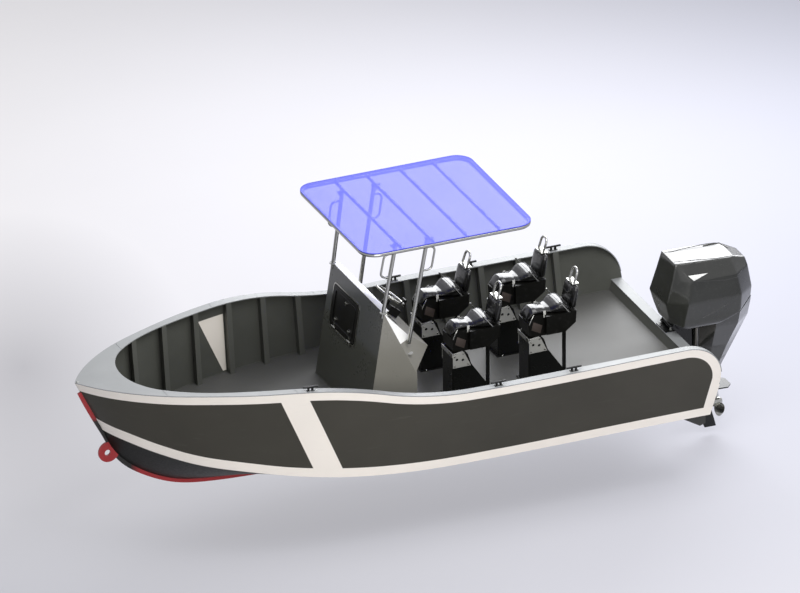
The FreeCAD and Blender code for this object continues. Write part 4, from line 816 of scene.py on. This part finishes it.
# welts between the saddle's top and side panels, and sewn channels over its hump
bm = bmesh.new()
for hand in BOTH:
    edge = [(x, hand * half * 0.97, high + crown * 0.3 + 0.004)
            for x, half, low, high, crown, _ in SADDLE[1:]]
    bar(bm, seam(saddle_tree, rounded(edge, 0.03, 3), 0.0008), 0.0032, 8)
for x, half, z, lift, width, sides in (
        (-0.150, 0.150, 0.96, -0.0006, 0.0024, 6), (-0.205, 0.150, 0.96, -0.0006, 0.0024, 6),
        (-0.242, 0.165, 0.915, 0.0006, 0.0032, 8)):
    line = [(x, half * k / 10, z) for k in range(-10, 11)]
    bar(bm, seam(saddle_tree, line, lift), width, sides)
seat_pieces("saddle_welt", bm, "dark_plastic", 180)

# backrest: thick pad that leans back, with rounded upper corners; columns: z,
# half width, crown of its front
BACKREST = [(0.842, 0.146, 0.0), (0.870, 0.151, 0.006), (0.930, 0.152, 0.010),
            (0.990, 0.151, 0.010), (1.040, 0.147, 0.008), (1.068, 0.136, 0.005),
            (1.080, 0.112, 0.002)]
BACK_LOW, BACK_TALL = 0.8353, 0.2547
bm = bmesh.new()
rings = []
for z, half, crown in BACKREST:
    t = (z - BACK_LOW) / BACK_TALL
    front_x = -0.262 - 0.058 * t - 0.008
    rear_x = -0.345 - 0.040 * t + 0.006
    rings.append(ring_of(
        bm, half, 0.4, 0.5, crown,
        lambda y, s, c: ((front_x + rear_x) / 2 + (front_x - rear_x) / 2 * s + c * 0.6, y, z)))
close_ends(bm, rings)
backrest = inflate("backrest", bm, 0.007)
copies("backrest", backrest, "black_leather", "seat_backrests")
back_tree = mesh_tree(backrest)
bm = bmesh.new()
for z in (0.915, 0.995):
    line = [(-0.20, 0.140 * k / 10, z) for k in range(-10, 11)]
    bar(bm, seam(back_tree, line, -0.0004), 0.0024, 6)
edge = [(-0.27, -0.15, 0.845), (-0.30, -0.15, 1.03), (-0.31, -0.12, 1.078),
        (-0.31, 0.12, 1.078), (-0.30, 0.15, 1.03), (-0.27, 0.15, 0.845)]
bar(bm, seam(back_tree, dense(edge, 8) + [Vector(edge[-1])], 0.0006), 0.003, 8)
seat_pieces("backrest_welt", bm, "dark_plastic", 180)

# bolts of the side plates and feet, strut eyes and lap bars
bm = bmesh.new()
for hand in BOTH:
    for x, z in ((0.036, 0.424), (0.196, 0.422), (0.196, 0.532), (0.096, 0.556)):
        bolt(bm, (x, hand * 0.148, z), (0, hand, 0), 0.0065)
    for x in (-0.27, -0.05, 0.17):
        bolt(bm, (x, hand * 0.15, 0.008), (0, 0, 1), 0.007)
    knob = (-0.128, hand * 0.176, 0.962)
    bar(bm, [knob, (-0.231, hand * 0.184, 0.830)], 0.0055, 10)
    turned(bm, knob, (0.6, 0, 0.8),
           [(-0.012, 0.004), (-0.008, 0.010), (0.008, 0.010), (0.013, 0.004)], 14)
    bar(bm, [(0.206, hand * 0.134, 0.560), (0.098, hand * 0.134, 0.577)], 0.006, 10)
for y in (-0.08, 0.08):
    bolt(bm, (-0.372, y, 1.098), (0, 0, 1), 0.006)
seat_pieces("seat_bolts", bm, "bright_steel")
# painted highlight: a pale tab on each side of the saddle's waist, where a facet catches the light
bm = bmesh.new()
for hand in BOTH:
    y = hand * 0.1305
    highlight_tab = [(0.016, y, 0.792), (0.044, y, 0.792), (0.044, hand * 0.1255, 0.868),
           (0.016, hand * 0.1265, 0.868)]
    sheet_metal(bm, highlight_tab, (0, hand, 0), 0.0024, 0.0006)
seat_pieces("seat_side_highlights", bm, "highlight_grey")
# the upright plate is the bracket's front web, made bright steel as a painted highlight on it; the
# two flat plates are plain steel
bm = bmesh.new()
sheet_metal(bm, [(0.226, 0.060, 0.528), (0.226, 0.138, 0.528), (0.226, 0.138, 0.569),
                 (0.226, 0.060, 0.569)], (1, 0, 0), 0.003, 0.0008)
for x in (-0.29, -0.22):
    sheet_metal(bm, [(x, -0.024, 0.640), (x + 0.03, -0.024, 0.640), (x + 0.03, 0.024, 0.640),
                     (x, 0.024, 0.640)], (0, 0, 1), 0.006)
seat_pieces("seat_plates_and_highlight", bm, "bright_steel")

# bright bar along the front edge of each pod's nose, a painted highlight, and a paler plate on its
# lower side, painted light on a face that catches more of it; on both sides, from where the camera
# sees them on the first seat
EDGE_HIGHLIGHT_PIXELS = ((459, 327), (453, 340))
LIT_FACE_PIXELS = ((457, 337), (466, 340), (464, 348), (455, 345))
pod_tree = tree_of("seat_pods")
first = Vector(SEATS[0])
edge_highlight = [p - first for p in along_pixels(pod_tree, EDGE_HIGHLIGHT_PIXELS, 0.002, 3.0)]
# painted highlight: a bright steel bar along the nose's front edge
bm = bmesh.new()
for line in (edge_highlight, other_side(edge_highlight)):
    bar(bm, line, 0.0042, 8)
seat_pieces("pod_edge_highlights", bm, "bright_steel")
# painted light: a plate paler than the dark pod, where its lower side faces the light
lit_face = [at_pixel(pod_tree, px, py, 0.0015) - first for px, py in LIT_FACE_PIXELS]
bm = bmesh.new()
side_plates(bm, lit_face, 0.004, 0.001)
seat_pieces("pod_lit_faces", bm, "lit_face_grey")


# Console: screens, dials and switches on the upper dash

ACROSS = Vector((0, 1, 0))
DASH_TOP, DASH_FOOT = Vector((0.183, 0, 1.588)), Vector((-0.131, 0, 1.240))
DASH_LONG = (DASH_TOP - DASH_FOOT).length
DOWN = (DASH_FOOT - DASH_TOP).normalized()
OUT = Vector((DOWN.z, 0, -DOWN.x))
SCREENS = ((-0.48, -0.16), (-0.08, 0.12))
SCREEN_HALF, SCREEN_INSET = 0.075, 0.022
panel_tree = tree_of("instrument_panel", "console_shell")
glass, rims, marks, knobs = (bmesh.new() for _ in range(4))


def dash(s, y, lift=0.0):
    """Point of the dash, s down from its top edge."""
    return DASH_TOP + DOWN * s + ACROSS * y + OUT * lift


def on_dash(share, y):
    """Point of the panel or the shell, a share of the way down the dash."""
    point = dash(DASH_LONG * share, y)
    return drop(panel_tree, point + OUT * 0.3, -OUT) or point


def dash_plate(at, half, s0, s1):
    """Plate of a switch, from s0 to s1 down the dash."""
    corners = [at + ACROSS * y + DOWN * s
               for y, s in ((-half, s0), (half, s0), (half, s1), (-half, s1))]
    sheet_metal(knobs, corners, OUT, 0.004, 0.001)


for y0, y1 in SCREENS:
    middle = (y0 + y1) / 2
    lift = (on_dash(0.5, middle) - dash(DASH_LONG * 0.5, middle)).dot(OUT)
    s0, s1 = DASH_LONG * 0.5 - SCREEN_HALF, DASH_LONG * 0.5 + SCREEN_HALF
    y0, y1 = y0 + SCREEN_INSET, y1 - SCREEN_INSET
    corners = [dash(s, y, lift) for s, y in ((s0, y0), (s0, y1), (s1, y1), (s1, y0))]
    sheet_metal(glass, corners, OUT, 0.0016, 0.0005)
    start = corners[0].lerp(corners[1], 0.5)
    frame_line = rounded([start, *corners[1:], corners[0], start], 0.012, 4)
    bar(knobs, frame_line[:-1], 0.0028, 8, closed=True)
    for k in range(4):
        turned(knobs, dash(s1 + 0.012, middle + (k - 1.5) * 0.026, lift), OUT,
               [(-0.001, 0.006), (0.003, 0.006), (0.0042, 0.0045)], 14)


def at_angle(degrees):
    """Way on the dash, turned from straight up towards port."""
    angle = math.radians(degrees)
    return -DOWN * math.cos(angle) + ACROSS * math.sin(angle)


# three round dials with ticks and a needle, and a row of rocker switches
for i, y in enumerate((0.21, 0.33, 0.45)):
    at = on_dash(0.42, y)
    turned(rims, at, OUT, [(-0.002, 0.044), (0.006, 0.044), (0.009, 0.040), (0.009, 0.036),
                           (0.004, 0.035)], 36)
    turned(knobs, at, OUT, [(-0.002, 0.0355), (0.0042, 0.0355), (0.0043, 0.030)], 36)
    for k in range(11):
        way = at_angle(-130 + 26 * k)
        tick = 0.008 if k % 5 == 0 else 0.005
        bar(marks, [at + way * (0.031 - tick) + OUT * 0.0046, at + way * 0.031 + OUT * 0.0046],
            0.0007, 5)
    way = at_angle(-70 - 20 * i)
    bar(marks, [at + OUT * 0.0062, at + way * 0.024 + OUT * 0.0062], [0.0016, 0.0005], 6)
    turned(knobs, at, OUT, [(0.004, 0.004), (0.0078, 0.004), (0.0086, 0.0025)], 16)
for k in range(6):
    at = on_dash(0.80, 0.20 + 0.048 * k)
    dash_plate(at, 0.011, -0.019, 0.019)
    tip = at + OUT * 0.0035
    dash_plate(tip, 0.008, -0.015, 0.001)
    bar(marks, [tip + DOWN * -0.010 + OUT * 0.0042, tip + DOWN * -0.005 + OUT * 0.0042],
        0.0008, 5)
piece("dash_glass", glass, "screen_glass", "hull")
piece("gauge_rims", rims, "bright_steel", "hull")
piece("gauge_marks", marks, "mark_white", "hull")
piece("dash_switches", knobs, "dark_plastic", "hull")

# bead pressed into the hatch, on the console's sloping front
FRONT_FOOT = Vector((0.370, 0, 0.300))
FRONT_UP = (DASH_TOP - FRONT_FOOT).normalized()
FRONT_OUT = Vector((FRONT_UP.z, 0, -FRONT_UP.x))
BEAD = ((0.715, -0.215), (0.715, 0.045), (1.075, 0.045), (1.075, -0.475), (0.715, -0.475),
        (0.715, -0.215))
hatch_tree = tree_of("console_hatch")
bead = [drop(hatch_tree, FRONT_FOOT + FRONT_UP * s + ACROSS * y + FRONT_OUT * 0.5, -FRONT_OUT,
             0.0015) for s, y in BEAD]
bm = bmesh.new()
bar(bm, rounded(bead, 0.03)[:-1], 0.0035, 8, closed=True)
piece("hatch_bead", bm, "black_paint", "hatch")

# painted highlight: a near white strip on the console's top edge, where light is mirrored along
# it; and a weld round its foot
bm = bmesh.new()
sheet_metal(bm, [(0.184, -0.66, 1.5865), (0.184, 0.66, 1.5865), (0.108, 0.66, 1.5865),
                 (0.108, -0.66, 1.5865)], (0, 0, 1), 0.005, 0.0012)
piece("console_painted_highlight", bm, "painted_highlight", "hull")
FOOT_Y, WELD_Z = 0.702, 0.303
foot = [(0.372, FOOT_Y, WELD_Z), (0.372, -FOOT_Y, WELD_Z), (-0.209, -FOOT_Y, WELD_Z),
        (-0.209, FOOT_Y, WELD_Z)]
line = dense(foot + foot[:1], 30)
bm = bmesh.new()
bar(bm, line, [0.0045 + 0.0012 * math.sin(k * 2.4) for k in range(len(line))], 8, closed=True)
piece("console_weld", bm, "inner_paint", "hull")


# T-top: edge trim, bolts over the bars, gussets and flanges of the legs

TOP_Z, TOP_ROUND, TOP_MIDDLE = 2.450, 0.19, -0.49
TRIM = 0.0064           # from the sheet's edge to the trim's middle
TOP_BARS_X = (0.049, -0.323, -0.711, -1.099)
LEG_Y, FLANGES_X = 0.667, (0.178, -0.131)
low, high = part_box("top_panel")
x0, x1, y0, y1 = low.x + TRIM, high.x - TRIM, low.y + TRIM, high.y - TRIM
r = TOP_ROUND - TRIM
ring = []
for x, y, start in ((x1, y1, 0), (x0, y1, 90), (x0, y0, 180), (x1, y0, 270)):
    cx, cy = x - math.copysign(r, x - TOP_MIDDLE), y - math.copysign(r, y)
    for k in range(13):
        angle = math.radians(start + 7.5 * k)
        ring.append((cx + r * math.cos(angle), cy + r * math.sin(angle), TOP_Z - TRIM))
bm = bmesh.new()
bar(bm, ring, 0.0063, 10, closed=True)
piece("top_edge_trim", bm, "dark_paint", "hull")
bm = bmesh.new()
for x in TOP_BARS_X:
    for k in range(5):
        turned(bm, (x, -0.84 + 0.42 * k, TOP_Z - 0.004), (0, 0, 1),
               [(0, 0.010), (0.0025, 0.010), (0.0036, 0.007)], 14)
piece("top_bolts", bm, "top_dark", "hull")
bm = bmesh.new()
for x, fwd in ((0.049, 1), (-0.323, -1)):
    for hand in BOTH:
        y = hand * 0.712
        outline = [(x, 2.402), (x + fwd * 0.075, 2.402), (x + fwd * 0.012, 2.315), (x, 2.315)]
        sheet_metal(bm, [(px, y - 0.003, pz) for px, pz in outline], (0, 1, 0), 0.006)
        turned(bm, (x, y, 2.390), (0, 0, 1), [(0, 0.034), (0.008, 0.034), (0.010, 0.031)], 24)
piece("top_gussets", bm, "grey_paint", "hull")
shell_tree = tree_of("console_shell")
bm = bmesh.new()
for x in FLANGES_X:
    for hand in BOTH:
        y = hand * LEG_Y
        z = drop(shell_tree, (x, y, 2.0)).z
        turned(bm, (x, y, z - 0.001), (0, 0, 1), [(0, 0.040), (0.008, 0.040), (0.010, 0.037)],
               26)
        for k in range(4):
            angle = math.radians(45 + 90 * k)
            bolt(bm, (x + 0.031 * math.cos(angle), y + 0.031 * math.sin(angle), z + 0.009),
                 (0, 0, 1), 0.0038)
piece("leg_flanges", bm, "grey_paint", "hull")


# Hull: welds across the cap, welds along the deck's sides, and bolts of the
# cleats where the cap is met

HIGH = 2.0              # above the boat's sides, where rays start down
cap_tree = tree_of("gunwale_cap")
bm = bmesh.new()
for i in range(0, 14, 3):
    for hand in BOTH:
        starts = [(2.7125 - 0.435 * i, hand * (0.20 + 0.008 * k), HIGH) for k in range(150)]
        span = found(cap_tree, starts, lift=0.0002)
        if len(span) > 5:
            bar(bm, span[1:-1], 0.0022, 6)
piece("cap_welds", bm, "bare_alloy", "hull")
bm = bmesh.new()
for side, hand in (("topside_port", 1), ("topside_starboard", -1)):
    starts = [(-3.30 + 0.09 * k, 0.0, 0.306) for k in range(69)]
    line = found(tree_of(side), starts, (0, hand, 0), 0.002)
    bar(bm, [(p.x, p.y, WELD_Z) for p in line], 0.0045, 8)
piece("side_welds", bm, "inner_paint", "hull")
CLEATS = ((1.258, 1), (-0.850, 1), (-1.735, 1), (-0.850, -1), (-1.735, -1), (-2.720, -1))
bm = bmesh.new()
for x, hand in CLEATS:
    for dx in (-0.035, 0.035):
        starts = [(x + dx, hand * (1.30 - 0.004 * k), HIGH) for k in range(100)]
        for hit in found(cap_tree, starts)[:1]:
            bolt(bm, (x + dx * 1.9, hit.y - hand * 0.05, hit.z), (0, 0, 1), 0.004)
piece("cleat_bolts", bm, "bright_steel", "hull")


# Outboard: skins of the same forms as the nodes, shaded round

def welded(node):
    """A node's mesh with its corners joined."""
    bm = bmesh.new()
    bm.from_mesh(NODES[node].data)
    bmesh.ops.remove_doubles(bm, verts=bm.verts, dist=0.00005)
    return bm


# the cowl is remeshed and eased, which gives it moulded edges
form = placed("cowl_form", mesh_of("cowl_form", welded("engine_cowl")))
remeshed(form, 0.0085)
ease = form.modifiers.new("ease", "SMOOTH")
ease.factor, ease.iterations = 0.5, 24
moulded = evaluated(form)
bpy.data.objects.remove(form)
cowl_tree = mesh_tree(moulded)
cowl = bmesh.new()
cowl.from_mesh(moulded)
for node, bm, body, degrees in (
        ("engine_cowl", cowl, "motor", 180),
        ("midsection", welded("midsection"), "motor", 31),
        ("gearcase", welded("gearcase"), "motor", 34),
        ("propeller", welded("propeller"), "screw", 40)):
    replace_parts(piece(node + "_skin", bm, SLOT_OF[node], body, degrees), node)

# seams and slot of the cowl, and a pale plate near its top as a painted highlight, where the
# camera sees them; each seam has its half width in front
SEAM_PIXELS = ((0.0030, ((693, 282), (725, 280), (737, 277), (747, 262))),
               (0.0040, ((674, 262), (718, 258), (735, 255))),
               (0.0026, ((703, 318), (728, 304))))
SLOT_PIXELS = ((703, 246), (719, 243), (728, 248))
HIGHLIGHT_PIXELS = ((688, 276), (708, 273), (694, 281))
seams, slot, cowl_highlight = bmesh.new(), bmesh.new(), bmesh.new()
for width, pixels in SEAM_PIXELS:
    line = along_pixels(cowl_tree, pixels, 0.0004, 3.0)
    bar(seams, line, width, 8)
    bar(seams, other_side(line), width, 8)
bar(slot, along_pixels(cowl_tree, SLOT_PIXELS, 0.0004, 3.0), 0.0085, 8)
# painted highlight: a thin near white plate on each side of the cowl, where light is mirrored
highlight_corners = [at_pixel(cowl_tree, px, py, 0.0012) for px, py in HIGHLIGHT_PIXELS]
side_plates(cowl_highlight, highlight_corners, 0.0025, 0.0006)
piece("cowl_seams", seams, "gloss_black", "motor")
piece("cowl_slot", slot, "gloss_black", "motor")
piece("cowl_painted_highlight", cowl_highlight, "painted_highlight", "motor")

# bolts of the clamp, and a nut beside each end of the tilt axle, flat enough
# for the cowl to pass
SIDE_Y = 0.6            # clear of the outboard, where rays start inwards
CLAMP_BOLTS_Z = (-0.02, 0.10, 0.22)
NUT_X, NUT_Z = -3.435, 0.440
clamp_tree = tree_of("clamp_bracket")
bm = bmesh.new()
for hand in BOTH:
    inward = (0, -hand, 0)
    for z in CLAMP_BOLTS_Z:
        behind = [(-4.60, hand * (0.30 - 0.008 * k), z) for k in range(30)]
        x = found(clamp_tree, behind, (1, 0, 0))[0].x + 0.012
        bolt(bm, drop(clamp_tree, (x, hand * SIDE_Y, z), inward), (0, hand, 0), 0.008)
    nut = drop(clamp_tree, (NUT_X, hand * SIDE_Y, NUT_Z), inward)
    turned(bm, nut, (0, hand, 0), [(-0.001, 0.020), (0.0015, 0.020), (0.002, 0.019)], 28)
    turned(bm, nut, (0, hand, 0),
           [(0.001, 0.014), (0.0045, 0.014), (0.005, 0.012), (0.0052, 0.004)], 6)
piece("clamp_bolts", bm, "bright_steel", "hull")
mid_tree = tree_of("midsection")
bm = bmesh.new()
for z in (0.02, -0.16, -0.33):
    for hand in BOTH:
        starts = [(x, hand * SIDE_Y, z) for x in (-3.83, -4.02)]
        for hit in found(mid_tree, starts, (0, -hand, 0)):
            bolt(bm, hit, (0, hand, 0), 0.005)
for hand in BOTH:
    starts = [(-3.70 - 0.018 * k, hand * SIDE_Y, -0.02) for k in range(24)]
    bar(bm, found(mid_tree, starts, (0, -hand, 0)), 0.0022, 6)
piece("midsection_bolts", bm, "dark_paint", "motor")
gear_tree = tree_of("gearcase")
bm = bmesh.new()
for hand in BOTH:
    starts = [(-3.735, hand * SIDE_Y, -0.545 - 0.012 * k) for k in range(5)]
    for hit in found(gear_tree, starts, (0, -hand, 0)):
        bar(bm, [hit + Vector((0.030, 0, 0)), hit - Vector((0.030, 0, 0))], 0.0026, 6)
piece("water_intake", bm, "gloss_black", "motor")

# small fitting at the bow, on the foremost part of the cap
hit = found(cap_tree, [(x, y, HIGH) for x in (3.47, 3.45, 3.43, 3.40) for y in (0.0, 0.004)])[0]
bm = bmesh.new()
turned(bm, hit, (0, 0, 1), [(-0.004, 0.013), (0.004, 0.013), (0.006, 0.010)], 20)
bolt(bm, hit + Vector((0, 0, 0.005)), (0, 0, 1), 0.005)
piece("bow_fitting", bm, "bright_steel", "hull")


# World: one grey for what is seen or mirrored, another for what lights the boat

scene.view_settings.view_transform = "Standard"
scene.world = bpy.data.worlds.new("world")
sky = Tree(scene.world)
camera, through, mirrored = sky.node(
    "ShaderNodeLightPath", ("Is Camera Ray", "Is Transmission Ray", "Is Glossy Ray"))
seen = sky.node("ShaderNodeBackground", 0, {0: linear(228, 228, 234), 1: 1.0})
lit = sky.node("ShaderNodeBackground", 0, {0: (0.93, 0.94, 1.0), 1: 0.5})
either = camera.max(through).max(mirrored)
sky.node("ShaderNodeOutputWorld", None,
         {0: sky.node("ShaderNodeMixShader", 0, {0: either, 1: lit, 2: seen})})


def lamp(name, place, target, wide, tall, watts, color=(1, 1, 1)):
    """Rectangular soft lamp at a place, turned to a target."""
    data = bpy.data.lights.new(name, "AREA")
    data.shape = "RECTANGLE"
    data.size, data.size_y = wide, tall
    data.energy = watts
    data.color = color
    aimed = (Vector(target) - Vector(place)).to_track_quat("-Z", "Y").to_matrix().to_4x4()
    placed(name, data).matrix_world = Matrix.Translation(place) @ aimed


lamp("key", (-2.0, 3.5, 9.0), (-0.5, 0, 0.5), 9, 6, 760)
lamp("fill", (1.0, 10.0, 4.0), (0.0, 0, 0.5), 6, 4, 330, (1.0, 0.985, 0.95))
lamp("softbox", (-6.8, -7.4, 5.6), (-2.5, 0, 0.8), 10, 6.5, 1300, (0.97, 0.98, 1.0))


# Floor: half of its colour shows to the camera as it is, the rest takes shadows

FLOOR_Z = -0.95
bm = bmesh.new()
bmesh.ops.create_grid(bm, x_segments=1, y_segments=1, size=60)
floor = placed("floor", mesh_of("floor", bm))
floor.location = (0, 0, FLOOR_Z)
m = Finish("floor", Roughness=0.7, Specular_IOR_Level=0.2)
x, y, z, v = m.place()
# where the camera sees a point of the floor: 0 to 1 from left to right and downwards
across = (x * RIGHT.x + y * RIGHT.y - AIM.dot(RIGHT)) * (PER_METRE / WIDTH) + 0.5
down = ((AIM - Vector((0, 0, FLOOR_Z))).dot(UP) - x * UP.x - y * UP.y) * (PER_METRE / HEIGHT) + 0.5
tone = m.mix(across.ramp(0.0, 1.0), linear(243, 241, 243), linear(214, 215, 227))
below = m.mix(across.ramp(0.0, 1.0), linear(206, 206, 212), linear(222, 222, 230))
tone = m.mix(down.ramp(0.55, 1.0), tone, below)
# painted shadow: the floor is darker in a soft patch at the left of the view, a little below its
# middle, where the boat's shadow falls
left, middle = across - 0.03, down - 0.62
from_shadow = (left * left + middle * middle * 0.7).sqrt()
tone = m.mix(from_shadow.ramp(0.0, 0.22, 0.65, 0.0), tone, linear(166, 165, 170))
tone = m.mix(m.noise(v, 0.8, 3) * 0.06, tone, linear(190, 190, 196))
m.set(Base_Color=m.mix(0.20, tone, (0.0, 0.0, 0.0)))
glow = m.node("ShaderNodeEmission", 0, {0: tone})
share = m.node("ShaderNodeLightPath", "Is Camera Ray") * 0.52
m.plug(m.out.inputs[0], m.node("ShaderNodeMixShader", 0, {0: share, 1: m.shaded(), 2: glow}))
floor.data.materials.append(m.mat)
